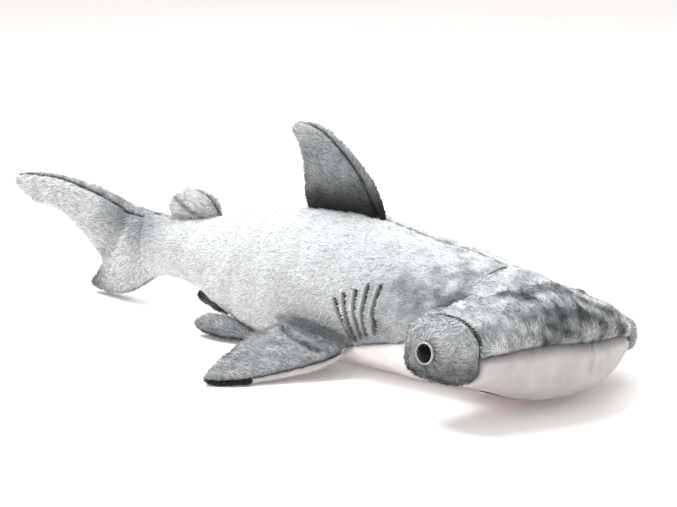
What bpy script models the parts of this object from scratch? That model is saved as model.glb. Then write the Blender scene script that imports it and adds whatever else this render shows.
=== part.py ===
"""Plush hammerhead shark: sewn plush panels over polyester filling, in metres.

Every place is given as (back, across, up): how far behind the snout, how far to the
toy's left (right is negative) and how far above the floor it rests on.
"""
import math

import bmesh
import bpy
from mathutils import Matrix, Vector

# Driving dimensions.
SNOUT_X = 0.2675        # the snout stands here, so the origin is under the middle of the toy
FABRIC = 0.0012         # backing cloth with its pile pressed flat
SEAM_GAP = 0.0003       # between two pieces that touch
FILL_GAP = 0.0007       # between the cloth and the filling behind it
HEAD_FILL_GAP = 0.0028  # the filling of the head stays further from its strongly curved cloth
TAIL_FILL_GAP = 0.0014
RIGHT, LEFT = -1, 1
ROUNDNESS = 2.2         # exponent of the body's cross section, 2 being an ellipse

# The body behind the head: back, top, bottom, half width.
BODY = [
    (0.066, 0.0745, 0.0020, 0.0410),
    (0.090, 0.0798, -0.0010, 0.0430),
    (0.120, 0.0838, -0.0025, 0.0450),
    (0.162, 0.0900, -0.0025, 0.0460),
    (0.200, 0.0910, -0.0025, 0.0450),
    (0.230, 0.0880, -0.0020, 0.0420),
    (0.260, 0.0825, 0.0005, 0.0370),
    (0.290, 0.0760, 0.0100, 0.0300),
    (0.320, 0.0695, 0.0212, 0.0235),
    (0.345, 0.0660, 0.0250, 0.0185),
    (0.365, 0.0650, 0.0240, 0.0165),
    (0.380, 0.0655, 0.0212, 0.0160),
]
NECK = BODY[0][0]
NECK_HALF_WIDTH = BODY[0][3]
# Where the white belly panel is sewn to the grey sides: back, degrees round from the top.
BELLY_SEAM = [
    (0.066, 100), (0.106, 103), (0.147, 118), (0.200, 142), (0.250, 156), (0.300, 168), (0.318, 173),
]
BELLY_END = BELLY_SEAM[-1][0]

# The hammer: across, top, bottom, height of the seam between the grey top and the white underside.
HAMMER = [
    (0.000, 0.0745, 0.0012, 0.0405),
    (0.020, 0.0705, 0.0030, 0.0405),
    (0.030, 0.0660, 0.0052, 0.0402),
    (0.041, 0.0612, 0.0076, 0.0392),
    (0.055, 0.0578, 0.0110, 0.0370),
    (0.074, 0.0532, 0.0162, 0.0330),
]
HEAD_ROLL = math.radians(-6)  # the soft head lies rolled over, its right lobe up
HEAD_ROLL_UP = 0.0405
CAP_SEAM = 0.074         # where the end caps that carry the eyes are sewn on
CAP_BULGE = 0.0177
CAP_SWEEP = 0.0215       # how far the front corner of the hammer lies behind the snout
CAP_REAR = 0.072
FRONT_FULLNESS = 0.80    # exponents of the head's outline, smaller being fuller
REAR_FULLNESS = 0.45
UNDER_FULLNESS = 0.42
LEFT_LOBE_BACK = 0.0065  # the left lobe lies pressed back
LOBE_START = 0.039
LEFT_DROP = 0.0040       # the top of the head sinks on its left, ahead of the neck
EYE_HOLE = 0.14          # size of the eye's hole against the size of the cap
MOUTH_HALF = 0.050

# The tail swings sideways about an upright line through the narrow part of the body.
TAIL_AXIS = 0.380
TAIL_RADIUS = 0.0170
TAIL_CLEARANCE = 0.0012
BODY_FRONT = NECK + 2 * SEAM_GAP
BODY_LENGTH = TAIL_AXIS - TAIL_RADIUS - BODY_FRONT

# Fins as ribs: share of the span, leading edge, middle or None, trailing edge, half thickness.
DORSAL = [
    (0.00, (0.163, 0, 0.0938), None, (0.229, 0, 0.0902), 0.0035),
    (0.15, (0.168, 0, 0.1030), None, (0.230, 0, 0.0980), 0.0075),
    (0.35, (0.177, 0, 0.1145), None, (0.2305, 0, 0.1080), 0.0070),
    (0.60, (0.192, 0, 0.1275), None, (0.233, 0, 0.1220), 0.0060),
    (0.80, (0.207, 0, 0.1375), None, (0.238, 0, 0.1320), 0.0050),
    (0.93, (0.220, 0, 0.1430), None, (0.243, 0, 0.1375), 0.0040),
    (1.00, (0.230, 0, 0.1450), None, (0.246, 0, 0.1400), 0.0030),
]
SECOND_DORSAL = [
    (0.00, (0.311, 0, 0.0732), None, (0.358, 0, 0.0664), 0.0030),
    (0.35, (0.314, 0, 0.0790), None, (0.361, 0, 0.0700), 0.0060),
    (0.70, (0.321, 0, 0.0850), None, (0.359, 0, 0.0770), 0.0055),
    (1.00, (0.331, 0, 0.0885), None, (0.352, 0, 0.0850), 0.0030),
]
ANAL = [
    (0.00, (0.298, 0, 0.0116), None, (0.328, 0, 0.0208), 0.0020),
    (0.50, (0.304, 0, 0.0104), None, (0.332, 0, 0.0188), 0.0035),
    (1.00, (0.313, 0, 0.0104), None, (0.333, 0, 0.0168), 0.0022),
]
TAIL = [
    (0.00, (0.380, 0, 0.0655), (0.380, 0, 0.0434), (0.380, 0, 0.0212), 0.0160),
    (0.06, (0.386, 0, 0.0658), (0.392, 0, 0.0385), (0.393, 0, 0.0128), 0.0150),
    (0.13, (0.391, 0, 0.0663), (0.401, 0, 0.0340), (0.411, 0, 0.0040), 0.0130),
    (0.20, (0.395, 0, 0.0667), (0.408, 0, 0.0310), (0.430, 0, 0.0025), 0.0115),
    (0.27, (0.399, 0, 0.0672), (0.414, 0, 0.0290), (0.445, 0, 0.0060), 0.0100),
    (0.33, (0.404, 0, 0.0680), (0.417, 0, 0.0330), (0.437, 0, 0.0150), 0.0105),
    (0.40, (0.411, 0, 0.0695), (0.421, 0, 0.0420), (0.428, 0, 0.0230), 0.0110),
    (0.50, (0.430, 0, 0.0735), (0.434, 0, 0.0510), (0.441, 0, 0.0340), 0.0100),
    (0.63, (0.455, 0, 0.0770), (0.459, 0, 0.0610), (0.462, 0, 0.0470), 0.0080),
    (0.76, (0.482, 0, 0.0790), (0.485, 0, 0.0675), (0.487, 0, 0.0550), 0.0065),
    (0.90, (0.510, 0, 0.0780), (0.511, 0, 0.0675), (0.511, 0, 0.0565), 0.0050),
    (1.00, (0.533, 0, 0.0755), (0.534, 0, 0.0715), (0.535, 0, 0.0675), 0.0028),
]
# The paired fins, given for the left side and mirrored for the right.
PECTORAL = [
    (0.00, (0.153, 0.0440, 0.0170), None, (0.211, 0.0440, 0.0220), 0.0015),
    (0.12, (0.154, 0.0510, 0.0130), None, (0.214, 0.0510, 0.0195), 0.0060),
    (0.35, (0.161, 0.0660, 0.0085), None, (0.215, 0.0660, 0.0160), 0.0070),
    (0.60, (0.171, 0.0840, 0.0055), None, (0.213, 0.0840, 0.0115), 0.0058),
    (0.80, (0.180, 0.1000, 0.0038), None, (0.2095, 0.1000, 0.0080), 0.0042),
    (0.93, (0.190, 0.1120, 0.0032), None, (0.205, 0.1120, 0.0055), 0.0030),
    (1.00, (0.197, 0.1180, 0.0034), None, (0.203, 0.1180, 0.0040), 0.0025),
]
PECTORAL_TIP = 0.78
PELVIC = [
    (0.00, (0.240, 0.0260, 0.0040), None, (0.272, 0.0220, 0.0065), 0.0015),
    (0.35, (0.256, 0.0340, 0.0066), None, (0.280, 0.0250, 0.0095), 0.0052),
    (0.75, (0.276, 0.0400, 0.0070), None, (0.292, 0.0300, 0.0100), 0.0058),
    (1.00, (0.291, 0.0415, 0.0068), None, (0.301, 0.0345, 0.0085), 0.0042),
]

# Hinge lines along the roots of the fins: a point on each.
DORSAL_HINGE = (0.196, 0, 0.0915)
SECOND_DORSAL_HINGE = (0.335, 0, 0.0680)
ANAL_HINGE = (0.313, 0, 0.0162)
TAIL_HINGE = (TAIL_AXIS, 0, 0.0410)
PECTORAL_HINGE = (0.184, 0.0425, 0.0212)
PELVIC_HINGE = (0.258, 0.0235, 0.0050)

# Five stitched gill slits on each side, rearmost first: top and bottom as (back, up).
GILLS = [
    ((0.160, 0.048), (0.147, 0.026)),
    ((0.153, 0.052), (0.144, 0.027)),
    ((0.144, 0.055), (0.139, 0.029)),
    ((0.135, 0.059), (0.134, 0.031)),
    ((0.126, 0.060), (0.126, 0.034)),
]
THREAD_RADIUS = 0.0006

MATERIALS = {
    # name: colour, roughness
    "plush_light_grey": ((0.62, 0.63, 0.63), 0.95),
    "plush_grey": ((0.30, 0.31, 0.33), 0.95),
    "plush_dark_grey": ((0.13, 0.13, 0.14), 0.95),
    "plush_white": ((0.85, 0.84, 0.82), 0.95),
    "plush_black": ((0.02, 0.02, 0.02), 0.95),
    "felt_pink": ((0.62, 0.16, 0.18), 0.90),
    "polyester_filling": ((0.92, 0.92, 0.90), 1.00),
    "eye_black": ((0.01, 0.01, 0.01), 0.08),
    "eye_grey": ((0.45, 0.45, 0.44), 0.15),
    "washer_plastic": ((0.80, 0.80, 0.78), 0.40),
    "thread_dark": ((0.05, 0.05, 0.055), 0.80),
}


def start_empty():
    """Remove whatever the scene holds."""
    for thing in list(bpy.data.objects):
        bpy.data.objects.remove(thing)


def make_materials():
    """One plain Principled material for each cloth, plastic and thread."""
    made = {}
    for name, (colour, roughness) in MATERIALS.items():
        material = bpy.data.materials.new(name)
        material.use_nodes = True
        shader = material.node_tree.nodes["Principled BSDF"]
        shader.inputs["Base Color"].default_value = (*colour, 1)
        shader.inputs["Roughness"].default_value = roughness
        shader.inputs["Metallic"].default_value = 0
        made[name] = material
    return made


def place(back, across, up):
    """The world point that far behind the snout."""
    return Vector((SNOUT_X - back, across, up))


def along(table, where, column):
    """A smooth curve through one column of a table whose first column is the place."""
    last = len(table) - 1
    index = 0
    while index < last - 1 and where > table[index + 1][0]:
        index += 1
    low, high = table[index], table[index + 1]
    width = high[0] - low[0]
    share = min(max((where - low[0]) / width, 0), 1)

    def slope(row):
        """How fast the column changes at a row of the table."""
        before, after = table[max(row - 1, 0)], table[min(row + 1, last)]
        return (after[column] - before[column]) / (after[0] - before[0])

    start, end = low[column], high[column]
    leaving, arriving = slope(index) * width, slope(index + 1) * width
    square, cube = share ** 2, share ** 3
    return (
        start * (2 * cube - 3 * square + 1)
        + leaving * (cube - 2 * square + share)
        + end * (3 * square - 2 * cube)
        + arriving * (cube - square)
    )


def signed_power(value, power):
    """A power that keeps the sign."""
    return math.copysign(abs(value) ** power, value)


def spread(start, end, count):
    """Count + 1 even steps from start to end."""
    return [start + (end - start) * step / count for step in range(count + 1)]


# ---------------------------------------------------------------- solids from grids of points

def add_part(name, points, faces, material, parent=None, smooth=True):
    """One closed solid as its own object, with its origin on its parent's."""
    origin = parent.matrix_world.translation.copy() if parent else Vector((0, 0, 0))
    mesh = bpy.data.meshes.new(name)
    mesh.from_pydata([point - origin for point in points], [], faces)
    work = bmesh.new()
    work.from_mesh(mesh)
    bmesh.ops.recalc_face_normals(work, faces=work.faces)
    work.to_mesh(mesh)
    work.free()
    for polygon in mesh.polygons:
        polygon.use_smooth = smooth
    mesh.materials.append(material)
    part = bpy.data.objects.new(name, mesh)
    bpy.context.scene.collection.objects.link(part)
    part.parent = parent
    return part


def sheet_between(outer, inner):
    """A sheet of cloth: two grids of the same size joined round their edges."""
    rows, columns = len(outer), len(outer[0])
    points = [point for grid in (outer, inner) for row in grid for point in row]
    size = rows * columns
    faces = []
    for row in range(rows - 1):
        for column in range(columns - 1):
            corner = row * columns + column
            quad = (corner, corner + 1, corner + columns + 1, corner + columns)
            faces.append(quad)
            faces.append(tuple(size + index for index in reversed(quad)))
    edge = [column for column in range(columns)]
    edge += [row * columns + columns - 1 for row in range(1, rows)]
    edge += [(rows - 1) * columns + column for column in range(columns - 2, -1, -1)]
    edge += [row * columns for row in range(rows - 2, 0, -1)]
    for here, there in zip(edge, edge[1:] + edge[:1]):
        faces.append((here, size + here, size + there, there))
    return points, faces


def tube(rings, closed_ends=True, looped=False):
    """Rings of points joined one to the next; the ends filled, or the last ring joined to the first."""
    count = len(rings[0])
    points = [point for ring in rings for point in ring]
    faces = []
    pairs = list(range(len(rings) - 1))
    if looped:
        pairs.append(len(rings) - 1)
    for ring in pairs:
        following = (ring + 1) % len(rings)
        for index in range(count):
            beside = (index + 1) % count
            faces.append((
                ring * count + index, ring * count + beside,
                following * count + beside, following * count + index,
            ))
    if closed_ends and not looped:
        faces.append(tuple(range(count)))
        faces.append(tuple((len(rings) - 1) * count + index for index in range(count)))
    return points, faces


def thread(path, radius, sides=5):
    """A thread laid along a path of points."""
    rings = []
    for index, point in enumerate(path):
        ahead = path[min(index + 1, len(path) - 1)] - path[max(index - 1, 0)]
        across = ahead.cross(Vector((1, 0, 0))).normalized()
        third = ahead.cross(across).normalized()
        rings.append([
            point + (across * math.cos(turn) + third * math.sin(turn)) * radius
            for turn in spread(0, 2 * math.pi, sides)[:-1]
        ])
    return tube(rings)


# ---------------------------------------------------------------- body

def body_section(back, inset):
    """Middle height, half height and half width of the body there."""
    top, bottom = along(BODY, back, 1), along(BODY, back, 2)
    return (top + bottom) / 2, (top - bottom) / 2 - inset, along(BODY, back, 3) - inset


def body_point(back, turn, inset=0.0):
    """On the body, turned clockwise from the top as seen from behind; flat where it meets the floor."""
    middle, half_height, half_width = body_section(back, inset)
    up = middle + half_height * signed_power(math.cos(turn), 2 / ROUNDNESS)
    across = -half_width * signed_power(math.sin(turn), 2 / ROUNDNESS)
    return place(back, across, max(up, inset))


def body_side(back, up):
    """Half width of the body at a height."""
    middle, half_height, half_width = body_section(back, 0)
    share = min(abs(up - middle) / half_height, 1)
    return half_width * (1 - share ** ROUNDNESS) ** (1 / ROUNDNESS)


def body_rear(turn, inset):
    """Where the body ends: a socket hollowed round the tail's axis."""
    across = abs(body_point(TAIL_AXIS, turn, inset).y)
    radius = TAIL_RADIUS + TAIL_CLEARANCE
    return TAIL_AXIS - math.sqrt(radius ** 2 - across ** 2)


def body_row(share, turns, inset=0.0):
    """Points round the body at a share of the way from the neck to the tail's socket."""
    return [
        body_point(BODY_FRONT + share * (body_rear(turn, inset) - BODY_FRONT), turn, inset)
        for turn in turns
    ]


def seam_turn(share):
    """How far round from the top the side panels reach."""
    back = BODY_FRONT + share * BODY_LENGTH
    if back >= BELLY_END:
        return math.pi
    return math.radians(along(BELLY_SEAM, back, 1))


def side_turns(share, side, gap):
    """Steps round a side panel, from the seam along the back to the seam with the belly."""
    return [side * turn for turn in spread(gap, seam_turn(share) - gap, 8)]


def belly_turns(share, gap):
    """Steps round the belly panel, from its right seam to its left."""
    low = min(seam_turn(share), math.radians(BELLY_SEAM[-1][1])) + gap
    return spread(low, 2 * math.pi - low, 8)


def all_round_turns(share):
    """The same steps as the three panels, all the way round."""
    last = min(seam_turn(share), math.radians(BELLY_SEAM[-1][1]))
    right = spread(0, last, 8)
    left = [2 * math.pi - turn for turn in reversed(right)]
    return right + spread(last, 2 * math.pi - last, 8)[1:-1] + left[:-1]


def build_body(materials):
    """Two grey side panels, the white belly panel and the filling."""
    gap = math.radians(0.6)
    belly_share = (BELLY_END - BODY_FRONT) / BODY_LENGTH
    shares = spread(0, belly_share, 15) + spread(belly_share, 1, 4)[1:]
    for name, side in (("right_side_panel", 1), ("left_side_panel", -1)):
        grids = [
            [body_row(share, side_turns(share, side, gap), inset) for share in shares]
            for inset in (0, FABRIC)
        ]
        add_part(name, *sheet_between(*grids), materials["plush_light_grey"])
    grids = [
        [body_row(share, belly_turns(share, gap), inset) for share in shares[:15]]
        for inset in (0, FABRIC)
    ]
    add_part("belly_panel", *sheet_between(*grids), materials["plush_white"])
    rings = []
    for share in shares:
        back = BODY_FRONT + share * (BODY_LENGTH - TAIL_CLEARANCE)
        rings.append([body_point(back, turn, FABRIC + FILL_GAP) for turn in all_round_turns(share)])
    add_part("body_stuffing", *tube(rings), materials["polyester_filling"])


def build_gills(materials):
    """Ten dark threads drawn through the side panels."""
    for side_name, side in (("right", RIGHT), ("left", LEFT)):
        for number, (top, bottom) in enumerate(GILLS, 1):
            path = []
            for share in spread(0, 1, 5):
                bow = 0.0015 * math.sin(math.pi * share)
                back = top[0] + (bottom[0] - top[0]) * share + bow
                up = top[1] + (bottom[1] - top[1]) * share
                across = body_side(back, up) + SEAM_GAP + THREAD_RADIUS * 1.8
                path.append(place(back, side * across, up))
            name = f"{side_name}_gill_thread_{number}"
            add_part(name, *thread(path, THREAD_RADIUS), materials["thread_dark"])


# ---------------------------------------------------------------- head

def hammer_front(across):
    """How far behind the snout the leading edge lies."""
    return CAP_SWEEP * (abs(across) / CAP_SEAM) ** 1.5


def hammer_rear(across):
    """How far behind the snout the head ends: at the neck, and at the lobes' trailing edge."""
    beyond = max(abs(across) - NECK_HALF_WIDTH, 0) / (CAP_SEAM - NECK_HALF_WIDTH)
    return NECK + (CAP_REAR - NECK) * beyond


def neck_height(across, upper):
    """How far the neck opening reaches there above (upper 1) or below (upper -1) the head's seam."""
    middle, half_height, half_width = body_section(NECK, 0)
    share = min(abs(across) / half_width, 1)
    roundness = (1 - share ** ROUNDNESS) ** (1 / ROUNDNESS)
    return half_height * roundness + upper * (middle - HAMMER[0][3]) * min(3 * roundness, 1)


def smooth_step(value, low, high):
    """0 before low, 1 after high, smooth between."""
    share = min(max((value - low) / (high - low), 0), 1)
    return share ** 2 * (3 - 2 * share)


def lobe_shift(point):
    """How the soft head is pressed at a point: its left lobe back, and its top down on the left."""
    back = LEFT_LOBE_BACK * smooth_step(point.y, LOBE_START, CAP_SEAM)
    ahead = smooth_step(NECK - (SNOUT_X - point.x), 0, 0.025)
    above = smooth_step(point.z, HAMMER[0][3], 0.075)
    return Vector((-back, 0, -LEFT_DROP * smooth_step(point.y, -0.006, 0.026) * ahead * above))


def rolled(points):
    """The head's points rolled about the line through its middle."""
    middle = Vector((0, 0, HEAD_ROLL_UP))
    turn = Matrix.Rotation(HEAD_ROLL, 3, "X")
    return [turn @ (point + lobe_shift(point) - middle) + middle for point in points]


def head_point(across, share, upper, inset=0.0):
    """On the grey top (upper 1) or the white underside (upper -1), from the front seam back."""
    column, *fullness = (1, FRONT_FULLNESS, REAR_FULLNESS) if upper > 0 else (2, UNDER_FULLNESS, UNDER_FULLNESS)
    seam = along(HAMMER, abs(across), 3)
    height = abs(along(HAMMER, abs(across), column) - seam)
    open_share = min(neck_height(across, upper) / height, 1)
    last_turn = math.pi - math.asin(open_share ** (1 / fullness[1]))
    turn = share * last_turn
    front = hammer_front(across) + inset
    rear = hammer_rear(across) - inset * (1 - open_share)
    back = front + (rear - front) * (1 - math.cos(turn)) / (1 - math.cos(last_turn))
    power = fullness[0] if turn < math.pi / 2 else fullness[1]
    rise = (height - inset - SEAM_GAP / 2) * max(math.sin(turn), 0) ** power
    return place(back, across, seam + upper * (rise + SEAM_GAP / 2))


def head_loop(across, inset, count=9):
    """The whole outline of the head at a distance across it."""
    over = [head_point(across, share, 1, inset) for share in spread(0, 1, count)]
    under = [head_point(across, share, -1, inset) for share in spread(1, 0, count)]
    return over + under


def cap_ring(share, side, inset):
    """A ring of an end cap: share 0 at its seam, 1 at the middle of its bulge."""
    loop = head_loop(CAP_SEAM, inset)
    loop = loop[:9] + loop[10:19]
    centre = sum(loop, Vector()) / len(loop)
    turn = math.pi / 2 * share
    size = math.cos(turn) ** 0.8
    across = CAP_SEAM + SEAM_GAP + (CAP_BULGE - inset) * math.sin(turn)
    ring = []
    for point in loop:
        spot = centre + (point - centre) * size
        ring.append(Vector((spot.x, side * across, spot.z)))
    return ring


def cap_centre():
    """Middle of the end caps, where the eyes sit."""
    loop = cap_ring(0, LEFT, 0)
    return sum(loop, Vector()) / len(loop)


def add_head_part(name, solid, material, smooth=True):
    """A solid of the head, rolled over with it."""
    points, faces = solid
    add_part(name, rolled(points), faces, material, smooth=smooth)


def build_head(materials):
    """The grey top, the white underside and the filling of the hammer."""
    stations = (0, 0.014, 0.026, 0.034, 0.039, 0.043, 0.052, 0.063, CAP_SEAM)
    stations = [-value for value in reversed(stations[1:])] + list(stations)
    for name, upper, cloth in (
        ("head_top_panel", 1, "plush_grey"),
        ("head_underside_panel", -1, "plush_white"),
    ):
        grids = []
        for inset in (0, FABRIC):
            grids.append([
                [head_point(across, share, upper, inset) for share in spread(0, 1, 9)]
                for across in stations
            ])
        add_head_part(name, sheet_between(*grids), materials[cloth])
    inset = FABRIC + HEAD_FILL_GAP
    rings = [head_loop(across, inset) for across in stations]
    centre = sum(rings[-1], Vector()) / len(rings[-1])
    for bulge, size in ((0.004, 0.86), (0.0075, 0.62), (0.0092, 0.34)):
        for side, end in ((RIGHT, 0), (LEFT, len(rings))):
            base = head_loop(side * CAP_SEAM, inset)
            ring = [
                Vector((centre.x + (point.x - centre.x) * size, side * (CAP_SEAM + bulge),
                        centre.z + (point.z - centre.z) * size))
                for point in base
            ]
            rings.insert(end, ring)
    add_head_part("head_stuffing", tube(rings), materials["polyester_filling"])


def build_caps(materials):
    """Dark end caps, each with a hole for the eye's shank, and the hand stitches over their seams."""
    last_share = 2 / math.pi * math.acos(EYE_HOLE ** (1 / 0.8))
    shares = [last_share * (1 - (1 - step) ** 1.5) for step in spread(0, 1, 5)]
    for side_name, side in (("right", RIGHT), ("left", LEFT)):
        outer = [cap_ring(share, side, 0) for share in shares]
        inner = [cap_ring(share, side, FABRIC) for share in reversed(shares)]
        solid = tube(outer + inner, looped=True)
        add_head_part(f"{side_name}_eye_cap", solid, materials["plush_dark_grey"])
        path = []
        for share in spread(0.14, 0.50, 6):
            spot = head_point(side * CAP_SEAM, share, 1, -SEAM_GAP - 2 * THREAD_RADIUS)
            path.append(Vector((spot.x, side * (CAP_SEAM + SEAM_GAP / 2), spot.z)))
        solid = thread(path, THREAD_RADIUS)
        add_head_part(f"{side_name}_cap_stitching", solid, materials["thread_dark"])


def turned(profile, centre, side, looped=False, sides=20):
    """A piece turned about a line across the toy: profile of (radius, distance across)."""
    rings = []
    for radius, across in profile:
        rings.append([
            Vector((centre.x + radius * math.cos(turn), side * across, centre.z + radius * math.sin(turn)))
            for turn in spread(0, 2 * math.pi, sides)[:-1]
        ])
    return tube(rings, looped=looped)


def build_eyes(materials):
    """Twelve millimetre safety eyes: black dome on a shank, grey ring, washer behind the cloth."""
    seat = CAP_SEAM + SEAM_GAP + CAP_BULGE + SEAM_GAP
    dome = [(0.0047 * math.cos(turn), seat + 0.0014 + 0.0018 * math.sin(turn)) for turn in (0, 0.4, 0.8, 1.2, 1.5)]
    eye = [(0.0013, seat - 0.0080), (0.0015, seat - 0.0075), (0.0015, seat), (0.0047, seat)] + dome
    ring = [(0.0050, seat), (0.0061, seat), (0.0061, seat + 0.0012), (0.0056, seat + 0.0019), (0.0050, seat + 0.0015)]
    washer = [(0.0019, seat - 0.0058), (0.0060, seat - 0.0058), (0.0060, seat - 0.0045), (0.0019, seat - 0.0045)]
    centre = cap_centre()
    for side_name, side in (("right", RIGHT), ("left", LEFT)):
        add_head_part(f"{side_name}_eye", turned(eye, centre, side), materials["eye_black"])
        solid = turned(ring, centre, side, looped=True)
        add_head_part(f"{side_name}_eye_ring", solid, materials["eye_grey"])
        solid = turned(washer, centre, side, looped=True)
        add_head_part(f"{side_name}_eye_washer", solid, materials["washer_plastic"], smooth=False)


def build_mouth(materials):
    """A crescent of pink felt sewn under the head."""
    grids = []
    for lift in (SEAM_GAP, SEAM_GAP + 0.0008):
        grid = []
        for across in spread(-MOUTH_HALF, MOUTH_HALF, 16):
            bend = (across / MOUTH_HALF) ** 2
            middle = 0.80 - 0.32 * bend
            width = 0.060 * (1 - 0.6 * bend)
            row = [head_point(across, share, -1, -lift) for share in spread(middle - width, middle + width, 4)]
            grid.append(row)
        grids.append(grid)
    add_head_part("mouth_lining", sheet_between(*grids), materials["felt_pink"])


# ---------------------------------------------------------------- fins and tail

def rib_points(ribs, span, inset, mirror=1):
    """Leading point, middle, trailing point and half thickness at a share of the span."""
    flat = []
    for share, lead, middle, trail, half in ribs:
        if middle is None:
            middle = tuple((a + b) / 2 for a, b in zip(lead, trail))
        flat.append((share, *lead, *middle, *trail, half))
    values = [along(flat, span, column) for column in range(1, 11)]
    lead, middle, trail = (
        place(values[first], mirror * values[first + 1], values[first + 2]) for first in (0, 3, 6)
    )
    lead += (middle - lead).normalized() * inset
    trail += (middle - trail).normalized() * inset
    return lead, middle, trail, max(values[9] - inset, 0.0002)


def fin_row(ribs, span, inset, thick, mirror=1, count=7):
    """One face of a fin from its leading seam to its trailing seam; thick points out of the face."""
    lead, middle, trail, half = rib_points(ribs, span, inset, mirror)
    bend = middle * 2 - (lead + trail) / 2
    row = []
    for turn in spread(0, math.pi, count):
        share = (1 - math.cos(turn)) / 2
        spot = lead * (1 - share) ** 2 + bend * 2 * share * (1 - share) + trail * share ** 2
        depth = SEAM_GAP / 2 + max(half - SEAM_GAP / 2, 0.0001) * math.sin(turn)
        row.append(spot + thick * depth)
    return row


def round_front(row, thick):
    """Bring the first row of the tail onto the cylinder it turns in."""
    moved = []
    for point in row:
        across = point.dot(thick)
        front = TAIL_AXIS - math.sqrt(TAIL_RADIUS ** 2 - across ** 2)
        moved.append(Vector((SNOUT_X - front, point.y, point.z)))
    return moved


def fin_panel(name, ribs, thick, material, parent, spans, mirror=1, tail=False):
    """One cloth face of a fin, with a row of points at each share of the span."""
    grids = []
    for inset in (0, FABRIC):
        rows = list(spans)
        if inset and rows[-1] == 1:
            rows[-1] = 0.97
        grid = [fin_row(ribs, span, inset, thick, mirror) for span in rows]
        if tail:
            grid.insert(0, round_front(grid[0], thick))
        grids.append(grid)
    add_part(name, *sheet_between(*grids), material, parent)


def fin_filling(name, ribs, thick, material, parent, spans, mirror=1, tail=False):
    """The filling between the two faces of a fin."""
    inset = FABRIC + (TAIL_FILL_GAP if tail else FILL_GAP)
    rings = []
    for span in spans:
        near = fin_row(ribs, span, inset, thick, mirror)
        far = fin_row(ribs, span, inset, -thick, mirror)
        if tail and not rings:
            rings.append(round_front(near, thick) + list(reversed(round_front(far, -thick))))
        rings.append(near + list(reversed(far)))
    solid = front_filled(rings) if tail else tube(rings)
    add_part(name, *solid, material, parent)


def front_filled(rings):
    """Joined rings whose first end is filled with strips between its two faces."""
    points, faces = tube(rings, closed_ends=False)
    count = len(rings[0])
    half = count // 2
    for index in range(half - 1):
        faces.append((index, index + 1, count - index - 2, count - index - 1))
    faces.append(tuple((len(rings) - 1) * count + index for index in range(count)))
    return points, faces


def hinge(name, spot):
    """An empty on a joint's line."""
    empty = bpy.data.objects.new(name, None)
    empty.empty_display_size = 0.01
    empty.location = place(*spot)
    bpy.context.scene.collection.objects.link(empty)
    bpy.context.view_layer.update()
    return empty


def build_upright_fin(name, ribs, spot, cloth, materials, rows):
    """A fin on the middle line: a right face, a left face and filling."""
    parent = hinge(f"{name}_hinge", spot)
    spans = spread(0, 1, rows)
    for side_name, side in (("right", RIGHT), ("left", LEFT)):
        thick = Vector((0, side, 0))
        fin_panel(f"{name}_{side_name}_panel", ribs, thick, materials[cloth], parent, spans)
    filling = materials["polyester_filling"]
    fin_filling(f"{name}_filling", ribs, Vector((0, 1, 0)), filling, parent, spans[1:-1])


def build_tail(materials):
    """Both lobes of the tail, cut in one piece on each side."""
    parent = hinge("tail_hinge", TAIL_HINGE)
    spans = spread(0, 1, 32)
    for name, side in (("tail_right_panel", RIGHT), ("tail_left_panel", LEFT)):
        thick = Vector((0, side, 0))
        fin_panel(name, TAIL, thick, materials["plush_light_grey"], parent, spans, tail=True)
    thick, filling = Vector((0, 1, 0)), materials["polyester_filling"]
    fin_filling("tail_stuffing", TAIL, thick, filling, parent, spans[:-1], tail=True)


def build_paired_fins(materials):
    """Pectoral fins with a black tip underneath, and the smaller pelvic fins."""
    filling = materials["polyester_filling"]
    slope = math.radians(13)
    spans = spread(0, PECTORAL_TIP, 7) + spread(PECTORAL_TIP, 1, 3)[1:]
    under_spans = spans[:7] + [PECTORAL_TIP - 0.004]
    for side_name, side in (("right", RIGHT), ("left", LEFT)):
        upper = Vector((0, side * math.sin(slope), math.cos(slope)))
        back, across, up = PECTORAL_HINGE
        parent = hinge(f"{side_name}_pectoral_hinge", (back, side * across, up))
        name = f"{side_name}_pectoral"
        fin_panel(f"{name}_top", PECTORAL, upper, materials["plush_grey"], parent, spans, side)
        fin_panel(f"{name}_underside", PECTORAL, -upper, materials["plush_white"], parent, under_spans, side)
        fin_panel(f"{name}_black_tip", PECTORAL, -upper, materials["plush_black"], parent, spans[7:], side)
        fin_filling(f"{name}_filling", PECTORAL, upper, filling, parent, spans[1:-1], side)

    spans = spread(0, 1, 6)
    for side_name, side in (("right", RIGHT), ("left", LEFT)):
        upper = Vector((0, 0, 1))
        back, across, up = PELVIC_HINGE
        parent = hinge(f"{side_name}_pelvic_hinge", (back, side * across, up))
        name = f"{side_name}_pelvic"
        fin_panel(f"{name}_top", PELVIC, upper, materials["plush_grey"], parent, spans, side)
        fin_panel(f"{name}_underside", PELVIC, -upper, materials["plush_dark_grey"], parent, spans, side)
        fin_filling(f"{name}_filling", PELVIC, upper, filling, parent, spans[1:-1], side)


def build():
    """The whole toy."""
    start_empty()
    materials = make_materials()
    build_body(materials)
    build_gills(materials)
    build_head(materials)
    build_caps(materials)
    build_eyes(materials)
    build_mouth(materials)
    build_upright_fin("dorsal_fin", DORSAL, DORSAL_HINGE, "plush_grey", materials, 9)
    build_upright_fin("second_dorsal_fin", SECOND_DORSAL, SECOND_DORSAL_HINGE, "plush_light_grey", materials, 8)
    build_upright_fin("anal_fin", ANAL, ANAL_HINGE, "plush_dark_grey", materials, 6)
    build_tail(materials)
    build_paired_fins(materials)


build()
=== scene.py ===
"""Looks of the plush hammerhead shark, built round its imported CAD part. Lengths are in metres.

Places are given as (back, across, up): how far behind the snout, how far to the toy's
left (right is negative) and how far above the floor. Every cloth is a grid of points,
and its pile is a crowd of small closed tufts that lean along the nap.
"""
import math

import bpy
import numpy as np
from mathutils import Matrix, Vector

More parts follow.
